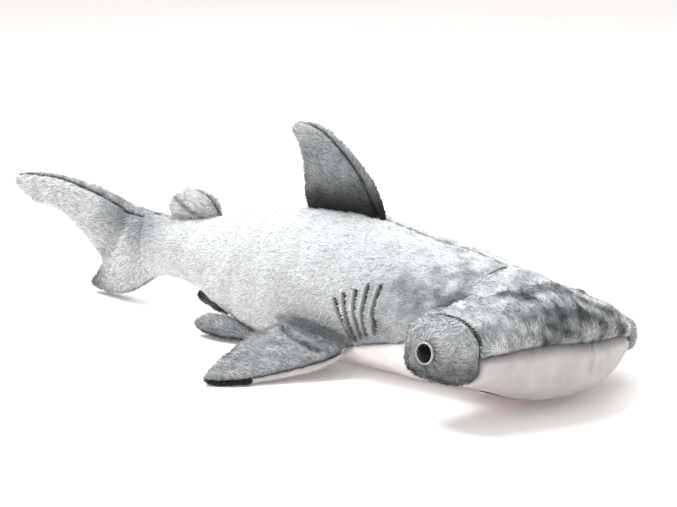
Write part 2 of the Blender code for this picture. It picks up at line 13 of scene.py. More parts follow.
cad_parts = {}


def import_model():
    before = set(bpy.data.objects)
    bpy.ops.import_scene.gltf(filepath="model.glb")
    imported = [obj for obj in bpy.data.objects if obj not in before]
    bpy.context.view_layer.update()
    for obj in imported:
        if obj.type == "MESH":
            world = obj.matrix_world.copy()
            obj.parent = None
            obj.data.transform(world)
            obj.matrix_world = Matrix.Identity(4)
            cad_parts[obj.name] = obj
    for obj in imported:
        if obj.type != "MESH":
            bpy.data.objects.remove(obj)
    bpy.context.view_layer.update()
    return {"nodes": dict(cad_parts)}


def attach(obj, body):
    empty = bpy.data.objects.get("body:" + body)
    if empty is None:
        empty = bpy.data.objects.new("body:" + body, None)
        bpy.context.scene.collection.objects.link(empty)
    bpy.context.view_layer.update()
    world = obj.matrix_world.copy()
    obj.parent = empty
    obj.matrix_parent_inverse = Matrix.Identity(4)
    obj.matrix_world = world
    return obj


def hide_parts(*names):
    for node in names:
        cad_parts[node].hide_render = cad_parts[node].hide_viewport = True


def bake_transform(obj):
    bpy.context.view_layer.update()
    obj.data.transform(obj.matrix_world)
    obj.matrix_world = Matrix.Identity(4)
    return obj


# ---------------------------------------------------------------- dimensions, as in the CAD part

SNOUT_X = 0.2675
ROUNDNESS = 2.2
RIGHT, LEFT = -1, 1
SIDES = (("right", RIGHT), ("left", LEFT))

# The body behind the head: back, top, bottom, half width.
BODY = [
    (0.066, 0.0745, 0.0020, 0.0410),
    (0.090, 0.0798, -0.0010, 0.0430),
    (0.120, 0.0838, -0.0025, 0.0450),
    (0.162, 0.0900, -0.0025, 0.0460),
    (0.200, 0.0910, -0.0025, 0.0450),
    (0.230, 0.0880, -0.0020, 0.0420),
    (0.260, 0.0825, 0.0005, 0.0370),
    (0.290, 0.0760, 0.0100, 0.0300),
    (0.320, 0.0695, 0.0212, 0.0235),
    (0.345, 0.0660, 0.0250, 0.0185),
    (0.365, 0.0650, 0.0240, 0.0165),
    (0.380, 0.0655, 0.0212, 0.0160),
]
NECK = BODY[0][0]
NECK_HALF_WIDTH = BODY[0][3]
TAIL_ROOT = BODY[-1][0]
# Where the white belly is sewn to the grey sides: back, degrees round from the top.
BELLY_SEAM = [
    (0.066, 100), (0.106, 103), (0.147, 118), (0.200, 142), (0.250, 156), (0.300, 168), (0.318, 173),
]
BELLY_END = BELLY_SEAM[-1][0]

# The hammer: across, top, bottom, height of the seam between the grey top and the white underside.
HAMMER = [
    (0.000, 0.0745, 0.0012, 0.0405),
    (0.020, 0.0705, 0.0030, 0.0405),
    (0.030, 0.0660, 0.0052, 0.0402),
    (0.041, 0.0612, 0.0076, 0.0392),
    (0.055, 0.0578, 0.0110, 0.0370),
    (0.074, 0.0532, 0.0162, 0.0330),
]
HEAD_ROLL = math.radians(-6)
HEAD_ROLL_UP = 0.0405
ROLL_FADE = 0.055       # behind the neck the body twists back upright over this length
CAP_SEAM = 0.074
CAP_BULGE = 0.0177
CAP_SWEEP = 0.0215
CAP_REAR = 0.072
FRONT_FULLNESS = 0.80
REAR_FULLNESS = 0.45
UNDER_FULLNESS = 0.42
LEFT_LOBE_BACK = 0.0065
LOBE_START = 0.039
LEFT_DROP = 0.0040
LEFT_PRESS = 0.25        # share by which the end of the left lobe is thinner above its seam
LEFT_LIFT = 0.0062       # the underside of the left lobe lies pressed up
# The fold between the hammer and the neck: across, back.
HEAD_FOLD = [
    (0.000, 0.0345), (0.015, 0.0395), (0.025, 0.0425), (0.033, 0.0441),
    (0.041, 0.0465), (0.048, 0.0525), (0.056, 0.0580),
]

# Fins as ribs: share of the span, leading edge, middle or None, trailing edge, half thickness.
DORSAL = [
    (0.00, (0.163, 0, 0.0938), None, (0.229, 0, 0.0902), 0.0035),
    (0.15, (0.168, 0, 0.1030), None, (0.230, 0, 0.0980), 0.0075),
    (0.35, (0.177, 0, 0.1145), None, (0.2305, 0, 0.1080), 0.0070),
    (0.60, (0.192, 0, 0.1275), None, (0.233, 0, 0.1220), 0.0060),
    (0.80, (0.207, 0, 0.1375), None, (0.238, 0, 0.1320), 0.0050),
    (0.93, (0.220, 0, 0.1430), None, (0.243, 0, 0.1375), 0.0040),
    (1.00, (0.230, 0, 0.1450), None, (0.246, 0, 0.1400), 0.0030),
]
SECOND_DORSAL = [
    (0.00, (0.311, 0, 0.0732), None, (0.358, 0, 0.0664), 0.0030),
    (0.35, (0.314, 0, 0.0790), None, (0.361, 0, 0.0700), 0.0060),
    (0.70, (0.321, 0, 0.0850), None, (0.359, 0, 0.0770), 0.0055),
    (1.00, (0.331, 0, 0.0885), None, (0.352, 0, 0.0850), 0.0030),
]
ANAL = [
    (0.00, (0.293, 0, 0.0100), None, (0.330, 0, 0.0208), 0.0040),
    (0.50, (0.299, 0, 0.0078), None, (0.335, 0, 0.0165), 0.0052),
    (1.00, (0.309, 0, 0.0066), None, (0.336, 0, 0.0130), 0.0040),
]
TAIL = [
    (0.00, (0.380, 0, 0.0655), (0.380, 0, 0.0434), (0.380, 0, 0.0212), 0.0160),
    (0.06, (0.386, 0, 0.0658), (0.392, 0, 0.0385), (0.393, 0, 0.0128), 0.0150),
    (0.13, (0.391, 0, 0.0663), (0.401, 0, 0.0340), (0.411, 0, 0.0040), 0.0130),
    (0.20, (0.395, 0, 0.0667), (0.408, 0, 0.0310), (0.430, 0, 0.0025), 0.0115),
    (0.27, (0.399, 0, 0.0672), (0.414, 0, 0.0290), (0.445, 0, 0.0060), 0.0100),
    (0.33, (0.404, 0, 0.0680), (0.417, 0, 0.0330), (0.437, 0, 0.0150), 0.0105),
    (0.40, (0.411, 0, 0.0695), (0.421, 0, 0.0420), (0.428, 0, 0.0230), 0.0110),
    (0.50, (0.430, 0, 0.0735), (0.434, 0, 0.0510), (0.441, 0, 0.0340), 0.0100),
    (0.63, (0.455, 0, 0.0770), (0.459, 0, 0.0610), (0.462, 0, 0.0470), 0.0080),
    (0.76, (0.482, 0, 0.0790), (0.485, 0, 0.0675), (0.487, 0, 0.0550), 0.0065),
    (0.90, (0.510, 0, 0.0780), (0.511, 0, 0.0675), (0.511, 0, 0.0565), 0.0050),
    (1.00, (0.533, 0, 0.0755), (0.534, 0, 0.0715), (0.535, 0, 0.0675), 0.0028),
]
# The paired fins, given for the left side and mirrored for the right.
PECTORAL = [
    (0.00, (0.153, 0.0440, 0.0170), None, (0.211, 0.0440, 0.0220), 0.0015),
    (0.12, (0.154, 0.0510, 0.0130), None, (0.214, 0.0510, 0.0195), 0.0060),
    (0.35, (0.161, 0.0660, 0.0085), None, (0.215, 0.0660, 0.0160), 0.0070),
    (0.60, (0.171, 0.0840, 0.0055), None, (0.213, 0.0840, 0.0115), 0.0058),
    (0.80, (0.180, 0.1000, 0.0038), None, (0.2095, 0.1000, 0.0080), 0.0042),
    (0.93, (0.190, 0.1120, 0.0032), None, (0.205, 0.1120, 0.0055), 0.0030),
    (1.00, (0.197, 0.1180, 0.0034), None, (0.203, 0.1180, 0.0040), 0.0025),
]
PECTORAL_TIP = 0.78
PECTORAL_SLOPE = math.radians(13)
PELVIC = [
    (0.00, (0.240, 0.0260, 0.0040), None, (0.272, 0.0220, 0.0065), 0.0015),
    (0.35, (0.256, 0.0340, 0.0066), None, (0.280, 0.0250, 0.0095), 0.0052),
    (0.75, (0.276, 0.0400, 0.0070), None, (0.292, 0.0300, 0.0100), 0.0058),
    (1.00, (0.291, 0.0415, 0.0068), None, (0.301, 0.0345, 0.0085), 0.0042),
]
# Five stitched gill slits on each side, rearmost first: top and bottom as (back, up).
GILLS = [
    ((0.160, 0.048), (0.147, 0.026)),
    ((0.153, 0.052), (0.144, 0.027)),
    ((0.144, 0.055), (0.139, 0.029)),
    ((0.135, 0.059), (0.134, 0.031)),
    ((0.126, 0.060), (0.126, 0.034)),
]

# Cloth, seams and pile.
CLOTH = 0.0011          # thickness of the backing cloth
SEAM_DEPTH = 0.0013
SEAM_WIDTH = 0.0013
BULGE = 0.0007          # how far the stuffing pushes the cloth out beside a seam
THREAD = 0.0005         # radius of the sewing thread
WADDING_INSET = 0.0058  # how far the stuffing lies behind the outside of the cloth
FIN_WADDING_INSET = 0.0040
FLOOR_GAP = 0.0002
# How light the backing between the tufts is, as a share of the pile's tone: painted shade between the tufts.
GREY_GAP_SHADE = 0.60
FIN_GAP_SHADE = 0.50
WHITE_GAP_SHADE = 0.97
# How full the stuffing sits behind the cloth.
BODY_FILL = 0.8
FIN_FILL = 0.7


# ---------------------------------------------------------------- curves and places

def place(back, across, up):
    """World points of places given as (back, across, up)."""
    back, across, up = np.broadcast_arrays(*(np.asarray(value, float) for value in (back, across, up)))
    return np.stack([SNOUT_X - back, across, up], axis=-1)


def along(table, where, column):
    """A smooth curve through one column of a table whose first column is the place."""
    rows = np.array(table, float)
    stops, values = rows[:, 0], rows[:, column]
    last = len(stops) - 1
    before = np.maximum(np.arange(last + 1) - 1, 0)
    after = np.minimum(np.arange(last + 1) + 1, last)
    slopes = (values[after] - values[before]) / (stops[after] - stops[before])
    where = np.clip(np.asarray(where, float), stops[0], stops[-1])
    index = np.clip(np.searchsorted(stops, where, side="right") - 1, 0, last - 1)
    width = stops[index + 1] - stops[index]
    share = (where - stops[index]) / width
    square, cube = share ** 2, share ** 3
    return (
        values[index] * (2 * cube - 3 * square + 1)
        + slopes[index] * width * (cube - 2 * square + share)
        + values[index + 1] * (3 * square - 2 * cube)
        + slopes[index + 1] * width * (cube - square)
    )


def signed_power(value, power):
    """A power that keeps the sign."""
    return np.sign(value) * np.abs(value) ** power


def smooth_step(value, low, high):
    """0 before low, 1 after high, smooth between."""
    share = np.clip((value - low) / (high - low), 0, 1)
    return share * share * (3 - 2 * share)


def bump(distance, width):
    """1 at no distance, falling away over the width."""
    return np.exp(-(distance / width) ** 2)


def unit(vectors):
    """The vectors at length one."""
    return vectors / np.maximum(np.linalg.norm(vectors, axis=-1, keepdims=True), 1e-9)


def cloudy(points, size, seed, waves=16):
    """Smooth random values, mostly between -1 and 1, in patches of about that size."""
    draw = np.random.default_rng(seed)
    directions = unit(draw.normal(size=(waves, 3)))
    pitch = draw.uniform(0.6, 1.5, waves) * math.pi / size
    phases = draw.uniform(0, 2 * math.pi, waves)
    total = np.zeros(points.shape[:-1])
    for direction, rate, phase in zip(directions, pitch, phases):
        total += np.sin(points @ (direction * rate) + phase)
    return total / math.sqrt(waves) * 0.9


def path_distance(points, path):
    """How far each point is from a path of straight stretches."""
    best = np.full(points.shape[:-1], 1.0)
    for start, end in zip(path, path[1:]):
        line = end - start
        share = np.clip(((points - start) @ line) / (line @ line), 0, 1)
        best = np.minimum(best, np.linalg.norm(points - start - share[..., None] * line, axis=-1))
    return best


# ---------------------------------------------------------------- surfaces

def rolled(points, back):
    """Points turned with the head, which lies rolled over; the turn fades out behind the neck."""
    turn = HEAD_ROLL * (1 - smooth_step(back, NECK, NECK + ROLL_FADE))
    across, up = points[..., 1], points[..., 2] - HEAD_ROLL_UP
    turned = points.copy()
    turned[..., 1] = across * np.cos(turn) - up * np.sin(turn)
    turned[..., 2] = across * np.sin(turn) + up * np.cos(turn) + HEAD_ROLL_UP
    return turned


def body_surface(back, turn, inset=0.0):
    """On the body, turned clockwise from the top as seen from behind; pressed flat on the floor."""
    top, bottom = along(BODY, back, 1), along(BODY, back, 2)
    tall = (top - bottom) / 2 - inset
    up = (top + bottom) / 2 + tall * signed_power(np.cos(turn), 2 / ROUNDNESS)
    across = -(along(BODY, back, 3) - inset) * signed_power(np.sin(turn), 2 / ROUNDNESS)
    points = rolled(place(back, across, up), back)
    low = points[..., 2] - inset
    points[..., 2] = inset + (low + np.sqrt(low ** 2 + 0.0015 ** 2)) / 2
    return points


def body_side(back, up):
    """Half width of the body at a height."""
    top, bottom = along(BODY, back, 1), along(BODY, back, 2)
    share = np.minimum(np.abs(up - (top + bottom) / 2) / ((top - bottom) / 2), 1)
    return along(BODY, back, 3) * (1 - share ** ROUNDNESS) ** (1 / ROUNDNESS)


def seam_turn(back):
    """How far round from the top the grey side panels reach."""
    turn = np.radians(along(BELLY_SEAM, back, 1))
    close = smooth_step(back, BELLY_END - 0.004, BELLY_END)
    return turn + (math.pi - turn) * close


def neck_height(across, upper):
    """How far the neck opening reaches there above (upper 1) or below (upper -1) the head's seam."""
    top, bottom = BODY[0][1], BODY[0][2]
    share = np.minimum(np.abs(across) / NECK_HALF_WIDTH, 1)
    roundness = (1 - share ** ROUNDNESS) ** (1 / ROUNDNESS)
    offset = (top + bottom) / 2 - HAMMER[0][3]
    return (top - bottom) / 2 * roundness + upper * offset * np.minimum(3 * roundness, 1)


def head_surface(across, share, upper, inset=0.0):
    """On the grey top (upper 1) or the white underside (upper -1), from the front seam back."""
    across, share = np.broadcast_arrays(across, share)
    side = np.minimum(np.abs(across), CAP_SEAM)
    column, front_power, rear_power = 2, UNDER_FULLNESS, UNDER_FULLNESS
    if upper > 0:
        column, front_power, rear_power = 1, FRONT_FULLNESS, REAR_FULLNESS
    seam = along(HAMMER, side, 3)
    height = np.abs(along(HAMMER, side, column) - seam)
    opening = np.minimum(neck_height(across, upper) / height, 1)
    last = math.pi - np.arcsin(opening ** (1 / rear_power))
    turn = share * last
    beyond = np.maximum(side - NECK_HALF_WIDTH, 0) / (CAP_SEAM - NECK_HALF_WIDTH)
    front = CAP_SWEEP * (side / CAP_SEAM) ** 1.5 + inset
    rear = NECK + (CAP_REAR - NECK) * beyond - inset * (1 - opening)
    back = front + (rear - front) * (1 - np.cos(turn)) / (1 - np.cos(last))
    power = np.where(turn < math.pi / 2, front_power, rear_power)
    rise = (height - inset) * np.maximum(np.sin(turn), 0) ** power
    return place(back, across, seam + upper * rise)


def roll_head(points):
    """Points of the head as it lies: rolled, its left lobe pressed back and its top sunk on the left."""
    shifted = points.copy()
    outer = smooth_step(points[..., 1], 0.040, 0.070)
    over_seam = np.maximum(points[..., 2] - HAMMER[-1][3], 0)
    shifted[..., 2] -= LEFT_PRESS * outer * over_seam
    shifted[..., 0] -= LEFT_LOBE_BACK * smooth_step(points[..., 1], LOBE_START, CAP_SEAM)
    ahead = smooth_step(NECK - (SNOUT_X - points[..., 0]), 0, 0.025)
    above = smooth_step(points[..., 2], HAMMER[0][3], 0.075)
    shifted[..., 2] -= LEFT_DROP * smooth_step(points[..., 1], -0.006, 0.026) * ahead * above
    below = smooth_step(-points[..., 2], -0.038, -0.012)
    shifted[..., 2] += LEFT_LIFT * smooth_step(points[..., 1], 0.014, 0.046) * ahead * below
    return rolled(shifted, np.full(points.shape[:-1], NECK))


def cap_surface(share, round_share, side):
    """On an end cap: share 0 at its seam, 1 at its middle; round_share goes round the seam."""
    upper = round_share < 0.5
    over = head_surface(np.full_like(round_share, CAP_SEAM), np.clip(round_share * 2, 0, 1), 1)
    under = head_surface(np.full_like(round_share, CAP_SEAM), np.clip(2 - round_share * 2, 0, 1), -1)
    loop = np.where(upper[..., None], over, under)
    centre = cap_centre()
    turn = math.pi / 2 * share
    size = np.cos(turn) ** 0.8
    spot = centre + (loop - centre) * size[..., None]
    spot[..., 1] = side * (CAP_SEAM + CAP_BULGE * np.sin(turn))
    return spot


def cap_centre():
    """Middle of the end caps, where the eyes sit."""
    shares = np.linspace(0, 1, 10)
    over = head_surface(np.full(10, CAP_SEAM), shares, 1)
    under = head_surface(np.full(10, CAP_SEAM), shares[::-1], -1)
    loop = np.concatenate([over[:9], under[:9]])
    return loop.mean(axis=0)


def fin_surface(ribs, span, turn, thick, mirror=1, inset=0.0, rounding=0.10):
    """On a fin: turn 0 at its leading edge, half a turn at its trailing edge; the tip is rounded."""
    flat = []
    for share, lead, middle, trail, half in ribs:
        if middle is None:
            middle = tuple((a + b) / 2 for a, b in zip(lead, trail))
        flat.append((share, *lead, *middle, *trail, half))
    values = [along(flat, span, column) for column in range(1, 11)]
    lead, middle, trail = (
        place(values[first], mirror * values[first + 1], values[first + 2]) for first in (0, 3, 6)
    )
    closing = np.sqrt(1 - np.clip((span - 1 + rounding) / rounding, 0, 0.999) ** 2)
    lead = middle + (lead - middle) * (0.35 + 0.65 * closing)[..., None]
    trail = middle + (trail - middle) * (0.35 + 0.65 * closing)[..., None]
    lead = lead + unit(middle - lead) * inset
    trail = trail + unit(middle - trail) * inset
    bend = middle * 2 - (lead + trail) / 2
    share = ((1 - np.cos(turn)) / 2)[..., None]
    spot = lead * (1 - share) ** 2 + bend * 2 * share * (1 - share) + trail * share ** 2
    depth = np.maximum(values[9] - inset, 0.0004) * np.sin(turn) * closing
    return spot + np.asarray(thick, float) * depth[..., None]


# ---------------------------------------------------------------- meshes

def make_mesh(name, points, faces):
    """A mesh object from arrays of points and of faces that all have the same number of corners."""
    mesh = bpy.data.meshes.new(name)
    corners = faces.shape[1]
    mesh.vertices.add(len(points))
    mesh.vertices.foreach_set("co", np.asarray(points, np.float32).ravel())
    mesh.loops.add(faces.size)
    mesh.loops.foreach_set("vertex_index", np.asarray(faces, np.int32).ravel())
    mesh.polygons.add(len(faces))
    mesh.polygons.foreach_set("loop_start", np.arange(0, faces.size, corners, dtype=np.int32))
    mesh.update(calc_edges=True)
    piece = bpy.data.objects.new(name, mesh)
    bpy.context.scene.collection.objects.link(piece)
    return piece


def shade_smooth(piece, smooth=True):
    """Smooth or flat shading on all of a piece."""
    piece.data.polygons.foreach_set("use_smooth", np.full(len(piece.data.polygons), smooth))
    piece.data.update()


def grid_faces(rows, columns, start=0, looped=False):
    """Four-cornered faces of a grid of points; looped joins the last column to the first."""
    last = columns if looped else columns - 1
    row, column = np.meshgrid(np.arange(rows - 1), np.arange(last), indexing="ij")
    beside = (column + 1) % columns
    corners = [row * columns + column, row * columns + beside,
               (row + 1) * columns + beside, (row + 1) * columns + column]
    return start + np.stack([corner.ravel() for corner in corners], axis=1)


def grid_edge(rows, columns):
    """The points round the outside of a grid, in order."""
    edge = list(range(columns))
    edge += [row * columns + columns - 1 for row in range(1, rows)]
    edge += [(rows - 1) * columns + column for column in range(columns - 2, -1, -1)]
    edge += [row * columns for row in range(rows - 2, 0, -1)]
    return np.array(edge)


class Cloth:
    """A grid of points with its normals, its nap, its tone and its distance from its seams."""

    def __init__(self, points, behind, seams="", looped=False):
        self.points = points
        self.facing = 1
        self.looped = looped
        self.find_normals()
        if ((points - np.asarray(behind, float)) * self.normals).sum() < 0:
            self.facing = -1
            self.find_normals()
        self.seam = self.seam_distance(seams)
        self.base = points.copy()
        self.tone = np.full(points.shape[:2], 0.5)
        self.gap_shade = GREY_GAP_SHADE
        self.joined = 1.0      # distance from an edge where the cloth runs on into the next
        self.nap = unit(np.gradient(points, axis=0))

    def find_normals(self):
        """Normals from the neighbours of each point."""
        rows = np.gradient(self.points, axis=0)
        if self.looped:
            columns = np.roll(self.points, -1, axis=1) - np.roll(self.points, 1, axis=1)
        else:
            columns = np.gradient(self.points, axis=1)
        self.normals = unit(np.cross(rows, columns) * self.facing)

    def seam_distance(self, seams):
        """How far each point is, along the cloth, from the sewn edges: first or last row or column."""
        steps = np.linalg.norm(np.diff(self.points, axis=0), axis=2)
        down = np.vstack([np.zeros((1, steps.shape[1])), np.cumsum(steps, axis=0)])
        steps = np.linalg.norm(np.diff(self.points, axis=1), axis=2)
        over = np.hstack([np.zeros((steps.shape[0], 1)), np.cumsum(steps, axis=1)])
        found = [np.full(self.points.shape[:2], 1.0)]
        for name, distance in (
            ("first_row", down), ("last_row", down[-1:] - down),
            ("first_column", over), ("last_column", over[:, -1:] - over),
        ):
            if name in seams:
                found.append(distance)
        return np.minimum.reduce(found)

    def push(self, offset):
        """Move every point out along its normal."""
        self.points = self.points + self.normals * offset[..., None]
        self.find_normals()

    def stuff(self, lump=0.0009, seed=1):
        """Soft lumps of the filling, and the pull of the seams with small puckers beside them."""
        offset = lump * cloudy(self.base, 0.028, seed) + 0.35 * lump * cloudy(self.base, 0.011, seed + 1)
        offset *= smooth_step(np.minimum(self.seam, self.joined), 0, 0.012)
        offset -= SEAM_DEPTH * bump(self.seam, SEAM_WIDTH)
        offset += BULGE * bump(self.seam - 0.006, 0.004)
        offset += 0.0004 * cloudy(self.base, 0.0035, seed + 2) * bump(self.seam, 0.006)
        self.push(offset)

    def crease(self, path, depth, width, ridge=0.0):
        """Press a line into the cloth, with a ridge on both sides of it."""
        distance = path_distance(self.base, path)
        self.push(ridge * bump(distance - 2 * width, width) - depth * bump(distance, width))

    def build(self, name, material):
        """The cloth as a thin closed shell, with its tone kept as a colour attribute."""
        rows, columns = self.points.shape[:2]
        inner = self.points - self.normals * CLOTH
        size = rows * columns
        outside = grid_faces(rows, columns, looped=self.looped)
        faces = [outside, size + outside[:, ::-1]]
        rims = [grid_edge(rows, columns)]
        if self.looped:
            rims = [np.arange(columns), (rows - 1) * columns + np.arange(columns)]
        for rim in rims:
            there = np.roll(rim, -1)
            faces.append(np.stack([rim, size + rim, size + there, there], axis=1))
        faces = np.concatenate(faces)
        points = np.concatenate([self.points.reshape(-1, 3), inner.reshape(-1, 3)])
        points[:, 2] = np.maximum(points[:, 2], FLOOR_GAP)
        if self.facing < 0:
            faces = faces[:, ::-1]
        piece = make_mesh(name, points, faces)
        shade_smooth(piece)
        tone = np.tile(self.shown_tone().ravel(), 2)
        colours = np.repeat(tone[:, None], 4, axis=1).astype(np.float32)
        colours[:, 3] = 1
        attribute = piece.data.color_attributes.new("tone", "FLOAT_COLOR", "POINT")
        attribute.data.foreach_set("color", colours.ravel())
        piece.data.materials.append(material)
        return piece

    def shown_tone(self):
        """The tone of the backing between the tufts: a little darker as painted shade between the tufts, and
        darkest in the seams as painted shade in their grooves.
        """
        return self.tone * (self.gap_shade - 0.45 * bump(self.seam, 0.0014))


def tuft_points(spots, length, width, lean, swirl, seed, draw):
    """Four corners for each tuft: three round its root and one at its leaning tip."""
    swing = cloudy(spots["points"], 0.010, seed + 3) + 0.5 * cloudy(spots["points"], 0.003, seed + 4)
    swing = np.radians(swirl) * swing + np.radians(9) * draw.normal(size=len(swing))
    normals = spots["normals"]
    nap = unit(spots["nap"] - normals * (spots["nap"] * normals).sum(-1, keepdims=True))
    beside = np.cross(normals, nap)
    nap = nap * np.cos(swing)[:, None] + beside * np.sin(swing)[:, None]
    beside = np.cross(normals, nap)
    uneven = 0.30 * cloudy(spots["points"], 0.0028, seed + 6) + 0.2 * draw.normal(size=len(swing))
    lift = np.clip(np.radians(lean) * (1 + uneven), 0.05, 1.4)[:, None]
    heading = nap * np.cos(lift) + normals * np.sin(lift)
    above = np.cross(heading, beside)
    shorter = 0.55 + 0.45 * smooth_step(spots["seam"], 0, 0.004)
    reach = length * (1 + 0.18 * draw.normal(size=len(swing))) * shorter
    reach = np.clip(reach, 0.3 * length, 1.6 * length)[:, None]
    half = width / 2 * draw.uniform(0.75, 1.25, (len(swing), 1))
    root = spots["points"] - normals * 0.0003
    wide, deep = beside * half, above * half * 1.1
    corners = [root - wide, root + wide, root - deep, root + heading * reach]
    return np.stack(corners, axis=1).reshape(-1, 3)


def pile(name, cloth, family, spacing, length, width, lean, swirl, seed, jitter, dark=0.0, margin=0.0007):
    """The pile of a cloth: closed three-sided tufts, each in the family's tone nearest its own; a share of
    them, given by dark, is made half as light as painted shade between the tufts.
    """
    draw = np.random.default_rng(seed)
    spots = scatter(cloth, spacing, margin, draw)
    points = tuft_points(spots, length, width, lean, swirl, seed, draw)
    count = len(spots["tone"])
    # Painted shade: a random share of the tufts, given by dark, at half the tone, for the shade between
    # tufts.
    shade = np.where(draw.uniform(size=count) < dark, 0.50, 1.0)
    levels = spots["tone"] * shade * (1 + jitter * draw.normal(size=count))
    points[:, 2] = np.maximum(points[:, 2], FLOOR_GAP)
    tufts = np.arange(len(points) // 4)[:, None] * 4
    shape = ((0, 2, 1), (0, 1, 3), (1, 2, 3), (2, 0, 3))
    faces = np.concatenate([tufts + np.array(corner) for corner in shape], axis=1).reshape(-1, 3)
    piece = make_mesh(name, points, faces)
    shade_smooth(piece, False)
    tones = FAMILIES[family][1]
    nearest = np.abs(levels[:, None] - np.array(tones)[None]).argmin(axis=1)
    used = sorted(set(nearest.tolist()))
    for level in used:
        piece.data.materials.append(pile_material(family, tones[level]))
    slots = np.searchsorted(used, nearest).astype(np.int32)
    piece.data.polygons.foreach_set("material_index", np.repeat(slots, 4))
    return piece


def wadding(name, points, material):
    """A closed solid of filling from rings of points, each ring joined to the next."""
    rows, columns = points.shape[:2]
    steps = np.arange(columns // 2 - 1)
    faces = [grid_faces(rows, columns, looped=True)]
    for start in (0, (rows - 1) * columns):
        strip = np.stack([steps, steps + 1, columns - 2 - steps, columns - 1 - steps], axis=1) + start
        faces.append(strip[:, ::-1] if start == 0 else strip)
    points = points.reshape(-1, 3).copy()
    points[:, 2] = np.maximum(points[:, 2], FLOOR_GAP)
    piece = make_mesh(name, points, np.concatenate(faces))
    shade_smooth(piece)
    piece.data.materials.append(material)
    return piece


def scatter(cloth, spacing, margin, draw):
    """Random spots on a cloth, evenly by area, with what the cloth has there."""

    def stretch(values):
        return np.concatenate([values, values[:, :1]], axis=1) if cloth.looped else values

    points = stretch(cloth.points)
    first = points[1:, :-1] - points[:-1, :-1]
    second = points[:-1, 1:] - points[:-1, :-1]
    area = np.linalg.norm(np.cross(first, second), axis=2)
    count = int(area.sum() / spacing ** 2)
    cells = draw.choice(area.size, size=count, p=(area / area.sum()).ravel())
    row, column = np.divmod(cells, area.shape[1])
    down, over = draw.uniform(size=(2, count))
    found = {}
    for key in ("points", "normals", "nap", "tone", "seam"):
        values = stretch(getattr(cloth, key))
        if values.ndim == 2:
            values = values[..., None]
        mixed = (
            values[row, column] * ((1 - down) * (1 - over))[:, None]
            + values[row + 1, column] * (down * (1 - over))[:, None]
            + values[row, column + 1] * ((1 - down) * over)[:, None]
            + values[row + 1, column + 1] * (down * over)[:, None]
        )
        found[key] = mixed[:, 0] if mixed.shape[1] == 1 else mixed
    keep = found["seam"] > margin * draw.uniform(0.5, 1.5, count)
    found = {key: values[keep] for key, values in found.items()}
    found["normals"] = unit(found["normals"])
    return found


# ---------------------------------------------------------------- materials

# Tints as red, green and blue against grey, and the tones the tufts are made in.
FAMILIES = {
    "grey": ((0.945, 1.0, 1.035), (0.03, 0.06, 0.10, 0.15, 0.20, 0.26, 0.33, 0.41, 0.50, 0.60, 0.71, 0.82)),
    "white": ((1.03, 0.99, 0.975), (0.46, 0.50, 0.54, 0.60, 0.66, 0.72, 0.80, 0.88)),
    "black": ((1.0, 1.0, 1.0), (0.006, 0.012, 0.025)),
}


def new_material(name, roughness=0.9, colour=(0.5, 0.5, 0.5), **settings):
    """A Principled material and its shader."""
    material = bpy.data.materials.new(name)
    material.use_nodes = True
    shader = material.node_tree.nodes["Principled BSDF"]
    shader.inputs["Base Color"].default_value = (*colour, 1)
    shader.inputs["Roughness"].default_value = roughness
    for key, value in settings.items():
        shader.inputs[key.replace("_", " ")].default_value = value
    return material, shader


def pile_material(family, tone):
    """One tone of a family of pile."""
    name = f"{family}_pile_{round(tone * 1000):03d}"
    found = bpy.data.materials.get(name)
    if found:
        return found
    colour = [tone * share for share in tinted(family, tone)]
    material, shader = new_material(name, 0.75, colour, Sheen_Weight=0.20, Sheen_Roughness=0.45)
    shader.inputs["Specular IOR Level"].default_value = 0.25
    return material


def tinted(family, tone):
    """The tint of a tone: the darker greys are bluer."""
    strength = float(1 - smooth_step(tone, 0.40, 0.65)) if family == "grey" else 1.0
    return [1 + (share - 1) * strength for share in FAMILIES[family][0]]


def add_node(material, kind, **settings):
    """A node with its sockets set by name."""
    node = material.node_tree.nodes.new(kind)
    for key, value in settings.items():
        name = key.replace("_", " ")
        if name in node.inputs:
            node.inputs[name].default_value = value
        else:
            setattr(node, key, value)
    return node


MIX_FIRST, MIX_SECOND, MIX_RESULT = 6, 7, 2      # the colour sockets of a mix node


def backing_material(name, family):
    """Knitted backing under the pile: the tone of the cloth with fine fibres and small blotches."""
    material, shader = new_material(name, 0.95, Sheen_Weight=0.15, Sheen_Roughness=0.5)
    shader.inputs["Specular IOR Level"].default_value = 0.15
    link = material.node_tree.links.new
    tone = add_node(material, "ShaderNodeVertexColor", layer_name="tone")
    place_node = add_node(material, "ShaderNodeTexCoord")
    fibre = add_node(material, "ShaderNodeTexNoise", Scale=1400.0, Detail=3.0)
    blotch = add_node(material, "ShaderNodeTexNoise", Scale=90.0, Detail=2.0)
    for texture in (fibre, blotch):
        link(place_node.outputs["Object"], texture.inputs["Vector"])
    shade = add_node(material, "ShaderNodeMix", data_type="RGBA", blend_type="MULTIPLY")
    ramp = add_node(material, "ShaderNodeMapRange")
    for socket, value in (("From Min", 0.35), ("From Max", 0.65), ("To Min", 0.92), ("To Max", 1.06)):
        ramp.inputs[socket].default_value = value
    link(blotch.outputs["Fac"], ramp.inputs["Value"])
    tint = add_node(material, "ShaderNodeMix", data_type="RGBA", blend_type="MULTIPLY")
    tint.inputs["Factor"].default_value = 1.0
    shade.inputs["Factor"].default_value = 1.0
    tint.inputs[MIX_SECOND].default_value = (*FAMILIES[family][0], 1)
    link(tone.outputs["Color"], tint.inputs[MIX_FIRST])
    link(tint.outputs[MIX_RESULT], shade.inputs[MIX_FIRST])
    link(ramp.outputs["Result"], shade.inputs[MIX_SECOND])
    link(shade.outputs[MIX_RESULT], shader.inputs["Base Color"])
    relief = add_node(material, "ShaderNodeBump", Strength=0.5, Distance=0.0006)
    link(fibre.outputs["Fac"], relief.inputs["Height"])
    link(relief.outputs["Normal"], shader.inputs["Normal"])
    return material


